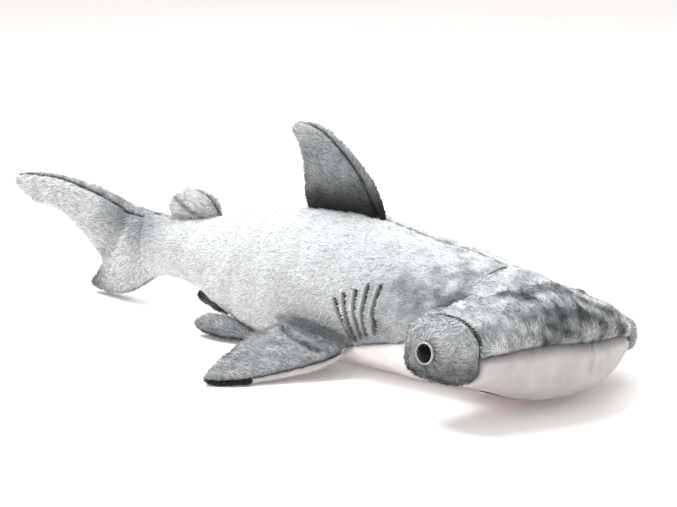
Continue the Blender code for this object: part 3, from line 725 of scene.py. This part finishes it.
def two_tone_material(name, dark, light, scale, roughness, depth=0.0002, **settings):
    """A material whose colour and surface follow one noise between two colours."""
    material, shader = new_material(name, roughness, **settings)
    link = material.node_tree.links.new
    place_node = add_node(material, "ShaderNodeTexCoord")
    texture = add_node(material, "ShaderNodeTexNoise", Scale=scale, Detail=4.0)
    link(place_node.outputs["Object"], texture.inputs["Vector"])
    ramp = add_node(material, "ShaderNodeValToRGB")
    ramp.color_ramp.elements[0].position = 0.35
    ramp.color_ramp.elements[0].color = (*dark, 1)
    ramp.color_ramp.elements[1].position = 0.68
    ramp.color_ramp.elements[1].color = (*light, 1)
    link(texture.outputs["Fac"], ramp.inputs["Fac"])
    link(ramp.outputs["Color"], shader.inputs["Base Color"])
    relief = add_node(material, "ShaderNodeBump", Strength=0.4, Distance=depth)
    link(texture.outputs["Fac"], relief.inputs["Height"])
    link(relief.outputs["Normal"], shader.inputs["Normal"])
    return material


# ---------------------------------------------------------------- putting pieces on the frame

def finish_piece(piece, on, slot, replaces=()):
    """Ride on a body, or keep its place when given a bend between two, and stand for CAD nodes; the slot is
    not used.
    """
    if isinstance(on, str):
        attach(piece, on)
    else:
        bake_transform(piece)
    if replaces:
        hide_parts(*replaces)


def cover(name, cloth, skins, family, on, slot, node, fill, **look):
    """A cloth and its pile as two pieces; the cloth stands for the CAD node; the fill is not used."""
    finish_piece(cloth.build(f"{name}_cloth", skins[family]), on, slot, [node])
    finish_piece(pile(f"{name}_pile", cloth, family, **look), on, slot)


def tuple_place(back, across, up):
    """One world point as a tuple."""
    return tuple(float(value) for value in place(back, across, up))


def bend_at(body, start, end):
    """A bend given as the body, a fin's body and two places, from one to the other; it is only passed along.
    """
    return ("body", body, tuple_place(*start), tuple_place(*end))


TAIL_BEND = bend_at("tail", (0.360, 0, 0.041), (0.401, 0, 0.041))
DORSAL_BEND = bend_at("dorsal_fin", (0.196, 0, 0.0890), (0.196, 0, 0.1020))
SECOND_DORSAL_BEND = bend_at("second_dorsal_fin", (0.335, 0, 0.0660), (0.335, 0, 0.0760))
ANAL_BEND = bend_at("anal_fin", (0.313, 0, 0.0190), (0.313, 0, 0.0130))


# ---------------------------------------------------------------- body

def side_tone(points):
    """Light grey flank, mottled and darker towards the head, grey under the tail root; low on the flank
    above and behind the pectoral fin it is darker, mostly painted shade and partly darker pile.
    """
    back, up = SNOUT_X - points[..., 0], points[..., 2]
    tone = 0.765 + 0.018 * cloudy(points, 0.016, 11)
    near_lobe = (1 - smooth_step(back, 0.085, 0.150)) * (1 - smooth_step(up, 0.055, 0.083))
    tone = tone - near_lobe * 0.40 + 0.18 * (1 - smooth_step(back, 0.085, 0.160)) * neck_clouds(points)
    # Painted shade low on the flank, strongest above the pectoral fin where the body faces down over it and
    # faint behind it; partly darker pile as well.
    low = 1 - smooth_step(up, 0.020, 0.046)
    tone = tone - low * 0.46 * smooth_step(back, 0.10, 0.14) * (1 - smooth_step(back, 0.180, 0.222))
    tone = tone - low * 0.05 * smooth_step(back, 0.18, 0.22) * (1 - smooth_step(back, 0.24, 0.31))
    tone = tone - 0.06 * smooth_step(back, 0.29, 0.33)
    tone = tone - 0.34 * smooth_step(back, 0.345, 0.380) * smooth_step(up, 0.036, 0.060)
    return np.clip(tone, 0.12, 0.82)


def neck_clouds(points):
    """Patches of darker and lighter pile on the neck."""
    return cloudy(points, 0.011, 12) + 0.5 * cloudy(points, 0.004, 13)


def gill_path(top, bottom, side, lift=0.0):
    """The line of one gill slit on the flank."""
    share = np.linspace(0, 1, 9)
    back = top[0] + (bottom[0] - top[0]) * share + 0.0015 * np.sin(math.pi * share)
    up = top[1] + (bottom[1] - top[1]) * share
    return place(back, side * (body_side(back, up) + lift), up)


def neck_folds(side):
    """Where the cloth folds as the neck bends: paths with depth and width."""
    folds = (
        (((0.098, 0.062), (0.082, 0.054), (0.072, 0.042)), 0.0024, 0.0030),
        (((0.116, 0.050), (0.098, 0.044), (0.080, 0.034)), 0.0015, 0.0035),
        (((0.126, 0.040), (0.104, 0.032), (0.086, 0.024)), 0.0012, 0.0030),
        (((0.212, 0.027), (0.186, 0.027), (0.152, 0.023)), 0.0030, 0.0026),
    )
    for path, depth, width in folds:
        back, up = np.array(path).T
        yield rolled(place(back, side * body_side(back, up), up), back), depth, width


def build_body(skins):
    """The stuffing, the grey sides and the white belly."""
    turn = np.linspace(0, 2 * math.pi, 60, endpoint=False)[None]
    points = body_surface(np.linspace(NECK + 0.002, TAIL_ROOT - 0.001, 70)[:, None], turn, WADDING_INSET)
    stuffing = wadding("body_wadding", points, skins["fibre"])
    finish_piece(stuffing, TAIL_BEND, "polyester_filling", ["body_stuffing"])
    for side_name, side in SIDES:
        build_side(skins, side_name, side)
    build_belly(skins)


def build_side(skins, side_name, side):
    """One grey side with its folds at the neck and its pulled-in gill slits."""
    back = np.linspace(NECK, TAIL_ROOT, 300)[:, None]
    turn = -side * np.linspace(0, 1, 84)[None] * seam_turn(back)
    cloth = Cloth(body_surface(back, turn), place(0.2, 0, 0.045), "first_column last_column")
    cloth.joined = back - NECK
    cloth.stuff(seed=20 + side)
    for path, depth, width in neck_folds(side):
        cloth.crease(path, depth, width, ridge=0.0008)
    for top, bottom in GILLS:
        line = gill_path(top, bottom, side)
        cloth.crease(line, 0.0020, 0.0011, ridge=0.0013)
        # The gill lines count as seams, so the backing there gets painted shade in the grooves and the pile
        # is shorter.
        cloth.seam = np.minimum(cloth.seam, np.maximum(path_distance(cloth.base, line) - 0.0007, 0))
    cloth.tone = side_tone(cloth.points)
    if side == LEFT:
        cloth.tone = np.minimum(cloth.tone, 0.80 - 0.38 * smooth_step(back, 0.330, 0.380))
    cloth.nap = unit(cloth.nap + 0.30 * unit(np.gradient(cloth.points, axis=1)))
    cover(f"{side_name}_side", cloth, skins, "grey", TAIL_BEND, "plush_light_grey",
          f"{side_name}_side_panel", BODY_FILL, spacing=0.00092, length=0.0026, width=0.00056, lean=22,
          swirl=16, seed=30 + side, jitter=0.05, dark=0.24, margin=0.0011)


def build_belly(skins):
    """The short-piled white belly between the two sides."""
    back = np.linspace(NECK, BELLY_END, 200)[:, None]
    low = seam_turn(back)
    turn = low + (2 * math.pi - 2 * low) * np.linspace(0, 1, 70)[None]
    cloth = Cloth(body_surface(back, turn), place(0.2, 0, 0.045), "first_row first_column last_column")
    cloth.stuff(seed=40)
    cloth.tone = np.full(cloth.points.shape[:2], 0.88) + 0.01 * cloudy(cloth.points, 0.02, 41)
    cloth.gap_shade = WHITE_GAP_SHADE
    cover("belly", cloth, skins, "white", "body", "plush_white", "belly_panel", BODY_FILL,
          spacing=0.0011, length=0.0014, width=0.0005, lean=14, swirl=14, seed=42, jitter=0.03)


def stitch_line(name, paths, radius, material, sides=6):
    """Threads laid along paths, each a closed tube."""
    points, faces = [], []
    start = 0
    for path in paths:
        ahead = unit(np.gradient(path, axis=0))
        across = unit(np.cross(ahead, np.broadcast_to((0.31, 0.0, 0.95), ahead.shape)))
        third = np.cross(ahead, across)
        turns = np.linspace(0, 2 * math.pi, sides, endpoint=False)
        size = np.full(len(path), radius)
        size[[0, -1]] = 0.4 * radius
        rings = path[:, None] + size[:, None, None] * (
            across[:, None] * np.cos(turns)[None, :, None] + third[:, None] * np.sin(turns)[None, :, None]
        )
        points.append(rings.reshape(-1, 3))
        quads = grid_faces(len(path), sides, start, looped=True)
        faces.append(quads)
        for first in (start, start + (len(path) - 1) * sides):
            faces.append(first + np.array([[0, 1, 2, 3], [0, 3, 4, 5]]))
        start += len(path) * sides
    piece = make_mesh(name, np.concatenate(points), np.concatenate(faces))
    shade_smooth(piece)
    piece.data.materials.append(material)
    return piece


def build_gills(thread):
    """The dark threads of the gill slits, lying in their folds."""
    for side_name, side in SIDES:
        for number, (top, bottom) in enumerate(GILLS, 1):
            path = gill_path(top, bottom, side, 0.0003)
            whisker = place(
                np.array([top[0], top[0] + 0.0045]),
                side * (body_side(top[0], top[1]) + 0.0006),
                np.array([top[1], top[1] + 0.0012]),
            )
            piece = stitch_line(f"{side_name}_gill_{number}", [path, whisker], THREAD * 1.45, thread)
            finish_piece(piece, "body", "thread_dark", [f"{side_name}_gill_thread_{number}"])


# ---------------------------------------------------------------- head

def behind_fold(points):
    """How far behind the fold between hammer and neck each point lies."""
    fold = np.array(HEAD_FOLD)
    across = np.abs(points[..., 1])
    return (SNOUT_X - points[..., 0]) - np.interp(across, fold[:, 0], fold[:, 1])


def press_fold(cloth):
    """The hammer bulges in front of its fold; the neck drops away behind it."""
    behind = behind_fold(cloth.base)
    fade = 1 - smooth_step(np.abs(cloth.base[..., 1]), 0.056, 0.064)
    bulge, fold, drop = bump(behind + 0.006, 0.0045), bump(behind, 0.0017), bump(behind - 0.006, 0.006)
    cloth.push((0.0016 * bulge - 0.0022 * fold - 0.0014 * drop) * fade)


def head_tone(points):
    """Mottled grey: darker towards the middle and lighter on the neck; darker towards the front seam as
    painted shade, and painted shade in the fold between hammer and neck.
    """
    behind = behind_fold(points)
    tone = 0.385 + 0.19 * cloudy(points, 0.011, 51) + 0.15 * cloudy(points, 0.0045, 52)
    tone = tone + 0.25 * smooth_step(np.abs(points[..., 1]), 0.020, 0.062)
    # Painted shade on the front of the hammer, which faces away from the light.
    tone = tone - 0.12 * (1 - smooth_step(SNOUT_X - points[..., 0], 0.004, 0.026))
    neck = 0.68 + 0.14 * neck_clouds(points) - 0.28 * (1 - smooth_step(points[..., 2], 0.052, 0.074))
    tone = tone + (neck - tone) * smooth_step(behind, -0.002, 0.005)
    # Painted shade down in the fold between the hammer and the neck.
    return np.clip(tone * (1 - 0.50 * bump(behind, 0.0012)), 0.06, 0.8)


def build_head(skins, thread):
    """The filling, the grey top, the white underside and the end caps with their stitches."""
    build_head_wadding(skins["fibre"])
    build_head_top(skins)
    build_head_underside(skins)
    for side_name, side in SIDES:
        build_cap(skins, side_name, side)
        stitches = stitch_line(f"{side_name}_cap_stitches", cap_stitches(side), THREAD, thread)
        finish_piece(stitches, "body", "thread_dark", [f"{side_name}_cap_stitching"])


def build_head_wadding(fibre):
    """The filling of the head, closed by smaller rings inside each end cap."""
    rings = [head_ring(across, WADDING_INSET) for across in np.linspace(-CAP_SEAM, CAP_SEAM, 60)]
    for rise, size in ((0.004, 0.86), (0.0075, 0.62), (0.0092, 0.34)):
        for side, end in ((RIGHT, 0), (LEFT, len(rings))):
            ring = head_ring(side * CAP_SEAM, WADDING_INSET)
            centre = ring.mean(axis=0)
            ring = centre + (ring - centre) * size
            ring[:, 1] = side * (CAP_SEAM + rise)
            rings.insert(end, ring)
    piece = wadding("head_wadding", roll_head(np.stack(rings)), fibre)
    finish_piece(piece, "body", "polyester_filling", ["head_stuffing"])


def head_cloth(upper, lump):
    """The grey top (upper 1) or the white underside (upper -1), stuffed, with the dart in its front."""
    across = np.linspace(-CAP_SEAM, CAP_SEAM, 190)[None]
    share = np.linspace(0, 1, 110)[:, None]
    points = roll_head(head_surface(across, share, upper))
    cloth = Cloth(points, place(0.035, 0, 0.040), "first_row first_column last_column")
    cloth.joined = np.linalg.norm(points - points[-1:], axis=-1)
    beside_neck = np.maximum(NECK_HALF_WIDTH - np.abs(across), 0) * (upper > 0)
    cloth.seam = np.minimum(cloth.seam, cloth.joined + beside_neck)
    cloth.stuff(lump, seed=50 + upper)
    dart = place([0.0, 0.0], [0.0, 0.0], [0.020, 0.062])
    cloth.crease(roll_head(dart), 0.0012, 0.0012, ridge=0.0003)
    return cloth, np.sign(across)[..., None]


def comb_head(cloth, outward):
    """Turn the nap outwards, most of all on the hammer."""
    sideways = unit(np.gradient(cloth.points, axis=1)) * outward
    swept = 0.3 + 0.3 * (1 - smooth_step(behind_fold(cloth.base), -0.004, 0.006))
    cloth.nap = unit(cloth.nap + swept[..., None] * sideways)


def build_head_top(skins):
    """The mottled top of the head with the fold between hammer and neck."""
    cloth, outward = head_cloth(1, 0.0009)
    press_fold(cloth)
    cloth.tone = head_tone(cloth.points)
    comb_head(cloth, outward)
    cover("head_top", cloth, skins, "grey", "body", "plush_grey", "head_top_panel", BODY_FILL,
          spacing=0.00088, length=0.0033, width=0.00058, lean=20, swirl=42, seed=54, jitter=0.16, dark=0.28)


def build_head_underside(skins):
    """The short-piled white underside of the head, set darker than the belly's white as painted shade."""
    cloth, outward = head_cloth(-1, 0.0005)
    # Painted shade: the same white as the belly at a much lower tone, for the underside facing the floor.
    cloth.tone = np.full(cloth.points.shape[:2], 0.48) + 0.008 * cloudy(cloth.points, 0.015, 53)
    cloth.gap_shade = WHITE_GAP_SHADE
    comb_head(cloth, outward)
    cover("head_underside", cloth, skins, "white", "body", "plush_white", "head_underside_panel", BODY_FILL,
          spacing=0.0011, length=0.0012, width=0.0005, lean=14, swirl=14, seed=55, jitter=0.03)


def build_cap(skins, side_name, side):
    """One end cap, drawn in round its eye, with painted shade in the dip round the eye; the right one has
    painted shade below and painted light above.
    """
    share = np.linspace(0, 0.93, 46)[:, None] * np.ones((1, 96))
    round_share = np.linspace(0, 1, 96, endpoint=False)[None] * np.ones((46, 1))
    centre = cap_centre()
    behind = roll_head(place(SNOUT_X - centre[0], side * CAP_SEAM, centre[2]))
    cloth = Cloth(roll_head(cap_surface(share, round_share, side)), behind, "first_row", looped=True)
    cloth.stuff(0.0006, seed=60 + side)
    middle = roll_head(place(SNOUT_X - centre[0], side * (CAP_SEAM + CAP_BULGE), centre[2]))
    distance = np.linalg.norm(cloth.base - middle, axis=-1)
    cloth.push(-0.0022 * bump(distance, 0.0085))
    blotches = cloudy(cloth.points, 0.007, 61)
    # Painted shade low on the right cap and painted light on its top; the left cap keeps one even tone.
    tone = 0.16 + 0.58 * smooth_step(cloth.points[..., 2], 0.026, 0.056) + 0.07 * blotches
    if side == LEFT:
        tone = 0.50 + 0.08 * blotches
    # Painted shade in the dip pressed in round the eye.
    cloth.tone = np.clip(tone * (1 - 0.6 * bump(distance, 0.0075)), 0.03, 0.62)
    cover(f"{side_name}_cap", cloth, skins, "grey", "body", "plush_dark_grey", f"{side_name}_eye_cap",
          BODY_FILL, spacing=0.00084, length=0.0029, width=0.00058, lean=26, swirl=34, seed=62 + side,
          jitter=0.2, dark=0.3)


def head_ring(across, inset):
    """The whole outline of the head at a distance across it, as the head is sewn."""
    shares = np.linspace(0, 1, 25)
    over = head_surface(np.full(24, across), shares[:-1], 1, inset)
    under = head_surface(np.full(24, across), shares[:0:-1], -1, inset)
    return np.concatenate([over, under])


def cap_stitches(side):
    """Short slanting stitches that close the seam of an end cap from its front over its top."""
    paths = []
    for share in np.linspace(0.10, 0.62, 17):
        inside = head_surface(side * (CAP_SEAM - 0.0016), share - 0.006, 1)
        outside = head_surface(side * CAP_SEAM, share + 0.006, 1)
        outside[..., 1] = side * (CAP_SEAM + 0.0016)
        middle = (inside + outside) / 2 + np.array([0, 0, 0.0004])
        paths.append(roll_head(np.stack([inside, middle, outside])))
    return paths


def turned(name, profile, middle, side, material, sides=48):
    """A closed piece turned about the eye's line: profile of (radius, distance out)."""
    profile = np.array(profile)
    turns = np.linspace(0, 2 * math.pi, sides, endpoint=False)
    rings = np.stack([
        middle[0] + profile[:, :1] * np.cos(turns)[None],
        np.broadcast_to(middle[1] + side * profile[:, 1:], (len(profile), sides)),
        middle[2] + profile[:, :1] * np.sin(turns)[None],
    ], axis=-1)
    piece = make_mesh(name, roll_head(rings).reshape(-1, 3), grid_faces(len(profile), sides, looped=True))
    shade_smooth(piece)
    piece.data.materials.append(material)
    return piece


def build_eyes(materials):
    """The black dome and the grey ring of each safety eye."""
    centre = cap_centre()
    for side_name, side in SIDES:
        seat = np.array([centre[0], side * (CAP_SEAM + CAP_BULGE - 0.0004), centre[2]])
        rise = np.linspace(0, math.pi / 2 - 0.02, 12)
        dome = [(0.0001, -0.0070), (0.0015, -0.0068), (0.0015, 0.0), (0.0052, 0.0002)]
        dome += [(0.0052 * math.cos(turn), 0.0010 + 0.0022 * math.sin(turn)) for turn in rise]
        eye = turned(f"{side_name}_eye_dome", dome, seat, side, materials["black"])
        finish_piece(eye, "body", "eye_black", [f"{side_name}_eye"])
        around = np.linspace(0, 2 * math.pi, 13)
        band = [(0.00585 + 0.00050 * math.cos(turn), 0.0011 + 0.0010 * math.sin(turn)) for turn in around]
        ring = turned(f"{side_name}_eye_band", band, seat, side, materials["ring"])
        finish_piece(ring, "body", "eye_grey", [f"{side_name}_eye_ring"])


# ---------------------------------------------------------------- fins and tail

def fin_cloth(ribs, thick, turns, mirror, spans, sink, rounding):
    """One face of a fin; its first rows run down into the body."""
    span, turn = np.meshgrid(spans, turns, indexing="ij")
    points = fin_surface(ribs, span, turn, thick, mirror, rounding=rounding)
    if sink is not None:
        steps = np.linspace(1, 0, 6, endpoint=False)[:, None, None]
        points = np.concatenate([points[:1] + steps * np.asarray(sink, float), points])
    outward = np.asarray(thick, float) * math.copysign(1, math.sin((turns[0] + turns[-1]) / 2))
    return Cloth(points, points.mean(axis=(0, 1)) - outward, "first_column last_column")


# How the pile of a fin looks unless its cloth says otherwise.
FIN_LOOK = {"spacing": 0.00085, "length": 0.0030, "lean": 30, "swirl": 22, "jitter": 0.12, "dark": 0.25,
            "margin": 0.0003, "rearward": 0.8, "creases": ()}
HALF_TURN, FULL_TURN = math.pi, 2 * math.pi
RIGHT_WAY = (0, RIGHT, 0)


def face(piece, turns, tone, node, slot, family="grey", span=(0, 1), **look):
    """One cloth of a fin: where it lies round and along it, its tone, CAD node, slot and pile."""
    return {**FIN_LOOK, "piece": piece, "turns": turns, "tone": tone, "node": node, "slot": slot,
            "family": family, "span": span, **look}


def two_faces(name, node, wrap, tones, slot, seeds, **look):
    """The right and left cloth of an upright fin; the left one wraps round the leading edge."""
    return [
        face(f"{name}_right", (wrap, HALF_TURN), tones[0], f"{node}_right_panel", slot,
             seed=seeds[0], **look),
        face(f"{name}_left", (HALF_TURN, FULL_TURN + wrap), tones[1], f"{node}_left_panel", slot,
             seed=seeds[1], **look),
    ]


def build_fin(skins, name, node, ribs, thick, bend, faces, sink, spans, columns, rounding=0.12, mirror=1):
    """A stuffed fin: its filling, which stands for the CAD node, and the faces sewn round it."""
    turns = np.linspace(0, FULL_TURN, 40, endpoint=False)
    span, turn = np.meshgrid(np.linspace(0.02, 0.94, 40), turns, indexing="ij")
    points = fin_surface(ribs, span, turn, thick, mirror, FIN_WADDING_INSET, rounding)
    filling = wadding(f"{name}_wadding", points, skins["fibre"])
    finish_piece(filling, bend, "polyester_filling", [node])
    for look in faces:
        first, last = look["span"]
        chosen = spans[(spans >= first - 1e-6) & (spans <= last + 1e-6)]
        low, high = look["turns"]
        root = sink if first == 0 else None
        cloth = fin_cloth(ribs, thick, np.linspace(low, high, columns), mirror, chosen, root, rounding)
        cloth.stuff(0.0007, seed=look["seed"])
        for path, depth, width in look["creases"]:
            cloth.crease(path, depth, width, ridge=0.4 * depth)
        cloth.tone = look["tone"](cloth.points)
        cloth.gap_shade = WHITE_GAP_SHADE if look["family"] == "white" else FIN_GAP_SHADE
        rearward = look["rearward"] if math.cos(low) > math.cos(high) else -look["rearward"]
        cloth.nap = unit(cloth.nap + rearward * unit(np.gradient(cloth.points, axis=1)))
        cover(look["piece"], cloth, skins, look["family"], bend, look["slot"], look["node"], FIN_FILL,
              spacing=look["spacing"], length=look["length"], width=0.00055, lean=look["lean"],
              swirl=look["swirl"], seed=look["seed"] + 5, jitter=look["jitter"], dark=look["dark"],
              margin=look["margin"])


def dorsal_tone(points):
    """Very dark at the root as painted shade where the fin meets the back, lighter towards the tip."""
    up = points[..., 2]
    # Painted shade at the root, fading out up the fin.
    tone = 0.035 + 0.365 * smooth_step(up, 0.094, 0.120) + 0.12 * smooth_step(up, 0.118, 0.142)
    return np.clip(tone * (1 + 0.14 * cloudy(points, 0.008, 71)), 0.03, 0.75)


def plain_tone(level, spread_out, size, seed):
    """A level with soft blotches."""
    return lambda points: np.clip(level + spread_out * cloudy(points, size, seed), 0.02, 0.85)


def fold_tone(level, fold, seed):
    """A level with soft blotches and painted shade down in a fold."""
    def tone(points):
        blotched = level + 0.10 * cloudy(points, 0.007, seed)
        return np.clip(blotched * (1 - 0.70 * bump(path_distance(points, fold), 0.0022)), 0.02, 0.85)

    return tone


def tail_tone(points):
    """Grey at the tail's root, lighter on the lobes."""
    back = SNOUT_X - points[..., 0]
    up = points[..., 2]
    tone = 0.68 + 0.04 * cloudy(points, 0.010, 76)
    tone = tone - 0.36 * smooth_step(up, 0.036, 0.060) * (1 - smooth_step(back, 0.400, 0.440))
    tone = tone - 0.44 * smooth_step(back, 0.415, 0.436) * (1 - smooth_step(up, 0.014, 0.024))
    return np.clip(tone, 0.1, 0.75)


def build_fins(skins):
    """Every fin and the tail."""
    build_upright_fins(skins)
    for side_name, side in SIDES:
        build_pectoral(skins, side_name, side)
        build_pelvic(skins, side_name, side)


def build_upright_fins(skins):
    """The two dorsal fins, the anal fin and the tail."""
    faces = two_faces("dorsal", "dorsal_fin", 0.50, (dorsal_tone, dorsal_tone), "plush_grey", (72, 73))
    build_fin(skins, "dorsal", "dorsal_fin_filling", DORSAL, RIGHT_WAY, DORSAL_BEND, faces,
              (0, 0, -0.007), np.linspace(0, 1, 64), 56)
    fold = place([0.353, 0.345, 0.334, 0.326], [-0.0045, -0.0060, -0.0062, -0.0050],
                 [0.0800, 0.0775, 0.0735, 0.0705])
    # The right face of the second dorsal fin has painted shade in its fold.
    tones = (fold_tone(0.78, fold, 77), plain_tone(0.60, 0.10, 0.007, 78))
    faces = two_faces("second_dorsal", "second_dorsal_fin", 0.3, tones, "plush_light_grey", (74, 74),
                      creases=[(fold, 0.0036, 0.0018)], length=0.0036, lean=40, dark=0.3)
    build_fin(skins, "second_dorsal", "second_dorsal_fin_filling", SECOND_DORSAL, RIGHT_WAY,
              SECOND_DORSAL_BEND, faces, (0, 0, -0.007), np.linspace(0, 1, 40), 40, rounding=0.5)
    # Painted shade: both faces of the anal fin are coloured very dark for the shade under the body.
    tones = (plain_tone(0.12, 0.05, 0.006, 79), plain_tone(0.12, 0.05, 0.006, 80))
    faces = two_faces("anal", "anal_fin", 0, tones, "plush_dark_grey", (79, 80), length=0.0026)
    build_fin(skins, "anal", "anal_fin_filling", ANAL, RIGHT_WAY, ANAL_BEND, faces,
              (-0.002, 0, 0.006), np.linspace(0, 1, 24), 30, rounding=0.5)
    tones = (tail_tone, plain_tone(0.42, 0.10, 0.006, 75))
    faces = two_faces("tail", "tail", 0.42, tones, "plush_light_grey", (81, 82), rearward=0.2, margin=0.0007)
    build_fin(skins, "tail", "tail_stuffing", TAIL, RIGHT_WAY, TAIL_BEND, faces,
              (0.003, 0, 0), np.linspace(0, 1, 150), 64, rounding=0.06)


def build_pectoral(skins, side_name, side):
    """A pectoral fin: a grey top with a pressed fold and painted shade in it, a white underside set darker
    as painted shade, and a black tip below.
    """
    name = f"{side_name}_pectoral"
    upper = (0, side * math.sin(PECTORAL_SLOPE), math.cos(PECTORAL_SLOPE))
    bend = bend_at(name, (0.184, side * 0.0400, 0.0200), (0.184, side * 0.0560, 0.0200))
    spans = np.unique(np.append(np.linspace(0, 1, 80), PECTORAL_TIP))
    along_fold, round_fold = np.array([0.06, 0.16, 0.22, 0.20]), np.array([2.3, 1.9, 1.3, 0.7])
    fold = fin_surface(PECTORAL, along_fold, round_fold, upper, side)
    below = (HALF_TURN, FULL_TURN + 0.25)
    faces = [
        face(f"{name}_top", (0.25, HALF_TURN), fold_tone(0.50, fold, 83), f"{name}_top", "plush_grey",
             seed=84, creases=[(fold, 0.0022, 0.0020)], dark=0.35),
        # Painted shade: the underside's white at a much lower tone than the belly's, for the side facing the
        # floor.
        face(f"{name}_under", below, plain_tone(0.50, 0.02, 0.01, 85), f"{name}_underside", "plush_white",
             "white", (0, PECTORAL_TIP), seed=86, length=0.0014, spacing=0.0011, dark=0.0, jitter=0.03),
        face(f"{name}_tip", below, plain_tone(0.012, 0.004, 0.01, 87), f"{name}_black_tip", "plush_black",
             "black", (PECTORAL_TIP, 1), seed=88),
    ]
    build_fin(skins, name, f"{name}_filling", PECTORAL, upper, bend, faces,
              (0.001, -side * 0.010, 0.004), spans, 50, mirror=side)


def build_pelvic(skins, side_name, side):
    """A pelvic fin: its grey top laps round the leading edge over an underside coloured dark as painted
    shade between fin and floor.
    """
    name = f"{side_name}_pelvic"
    bend = bend_at(name, (0.258, side * 0.0220, 0.0060), (0.258, side * 0.0320, 0.0060))
    faces = [
        face(f"{name}_top", (-0.7, HALF_TURN), plain_tone(0.41, 0.08, 0.007, 89), f"{name}_top",
             "plush_grey", seed=90, dark=0.35),
        # Painted shade: the underside is coloured dark for the shade between the fin and the floor.
        face(f"{name}_under", (HALF_TURN, FULL_TURN - 0.7), plain_tone(0.10, 0.03, 0.007, 91),
             f"{name}_underside", "plush_dark_grey", seed=92),
    ]
    build_fin(skins, name, f"{name}_filling", PELVIC, (0, 0, 1), bend, faces,
              (0.006, -side * 0.006, 0), np.linspace(0, 1, 36), 34, rounding=0.3, mirror=side)


# ---------------------------------------------------------------- floor, light and camera

def build_studio():
    """A faintly shining pale floor, a white surround, a large soft light above and a weak one behind."""
    bpy.ops.mesh.primitive_plane_add(size=14, location=(0, 0, 0))
    floor = bpy.context.object
    floor.name = "floor"
    floor.data.materials.append(two_tone_material(
        "floor_white", (0.89, 0.86, 0.845), (0.91, 0.88, 0.865), 3.0, 0.9, 0.0,
        Emission_Color=(1.0, 0.97, 0.955, 1), Emission_Strength=0.12,
    ))
    bpy.context.scene.view_settings.view_transform = "Standard"
    world = bpy.data.worlds.new("surround")
    bpy.context.scene.world = world
    world.use_nodes = True
    background = world.node_tree.nodes["Background"]
    background.inputs["Color"].default_value = (1.0, 1.0, 1.0, 1)
    background.inputs["Strength"].default_value = 0.84
    add_light("key", place(0.75, -0.10, 1.30), place(0.2, 0, 0.04), 0.9, 31)
    add_light("rear", place(0.65, 0.95, 0.9), place(0.2, 0, 0.04), 0.8, 12)


def add_light(name, spot, target, size, power):
    """A square area light that faces a target."""
    light = bpy.data.lights.new(name, "AREA")
    light.size = size
    light.energy = power
    lamp = bpy.data.objects.new(name, light)
    bpy.context.scene.collection.objects.link(lamp)
    lamp.location = Vector(spot)
    lamp.rotation_euler = (Vector(target) - Vector(spot)).to_track_quat("-Z", "Y").to_euler()


CAMERA_TURN = math.radians(46)      # from straight ahead of the toy towards its right
CAMERA_RISE = math.radians(12)
CAMERA_REACH = 1.200                # to the snout
CAMERA_LENS = 111.95                # in millimetres, on a sensor 36 wide
# How far the snout lies right of and below the camera's axis, per metre ahead.
SNOUT_RIGHT, SNOUT_BELOW = 0.12136, 0.04299


def build_camera():
    """A long lens, a little above the toy and in front of its right side."""
    data = bpy.data.cameras.new("camera")
    camera = bpy.data.objects.new("camera", data)
    bpy.context.scene.collection.objects.link(camera)
    data.sensor_width = 36
    data.lens = CAMERA_LENS
    toward = Vector((math.cos(CAMERA_TURN) * math.cos(CAMERA_RISE),
                     -math.sin(CAMERA_TURN) * math.cos(CAMERA_RISE), math.sin(CAMERA_RISE)))
    ahead = -toward
    right = ahead.cross(Vector((0, 0, 1))).normalized()
    up = right.cross(ahead)
    snout = Vector((SNOUT_X, 0, 0.040))
    camera.location = snout - CAMERA_REACH * (ahead + right * SNOUT_RIGHT + up * -SNOUT_BELOW)
    camera.rotation_euler = Matrix((right, up, toward)).transposed().to_euler()
    data.clip_end = 50
    bpy.context.scene.camera = camera


# ---------------------------------------------------------------- everything

def main():
    """Build every piece round the frame."""
    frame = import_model()
    skins = {family: backing_material(f"{family}_backing", family) for family in FAMILIES}
    thread = two_tone_material("thread", (0.004, 0.004, 0.005), (0.02, 0.02, 0.022), 3000, 0.7)
    felt = two_tone_material("felt", (0.72, 0.50, 0.50), (0.80, 0.60, 0.59), 900, 0.9)
    fibre = two_tone_material("fibre", (0.80, 0.80, 0.78), (0.92, 0.92, 0.90), 700, 1.0, 0.001)
    washer = two_tone_material("washer", (0.72, 0.72, 0.70), (0.80, 0.80, 0.78), 300, 0.4)
    eyes = {
        "black": two_tone_material("eye_gloss", (0.001, 0.001, 0.001), (0.003, 0.003, 0.004), 200, 0.14, 0.0,
                                   Specular_IOR_Level=0.07),
        "ring": two_tone_material("eye_ring", (0.38, 0.38, 0.375), (0.46, 0.46, 0.455), 400, 0.3, 0.00002),
    }
    for node, piece in frame["nodes"].items():
        material = thread
        for word, other in (("stuffing", fibre), ("filling", fibre), ("washer", washer), ("mouth", felt)):
            if word in node:
                material = other
        piece.data.materials.clear()
        piece.data.materials.append(material)
    skins["fibre"] = fibre
    build_body(skins)
    build_gills(thread)
    build_head(skins, thread)
    build_eyes(eyes)
    build_fins(skins)
    build_studio()
    build_camera()


main()
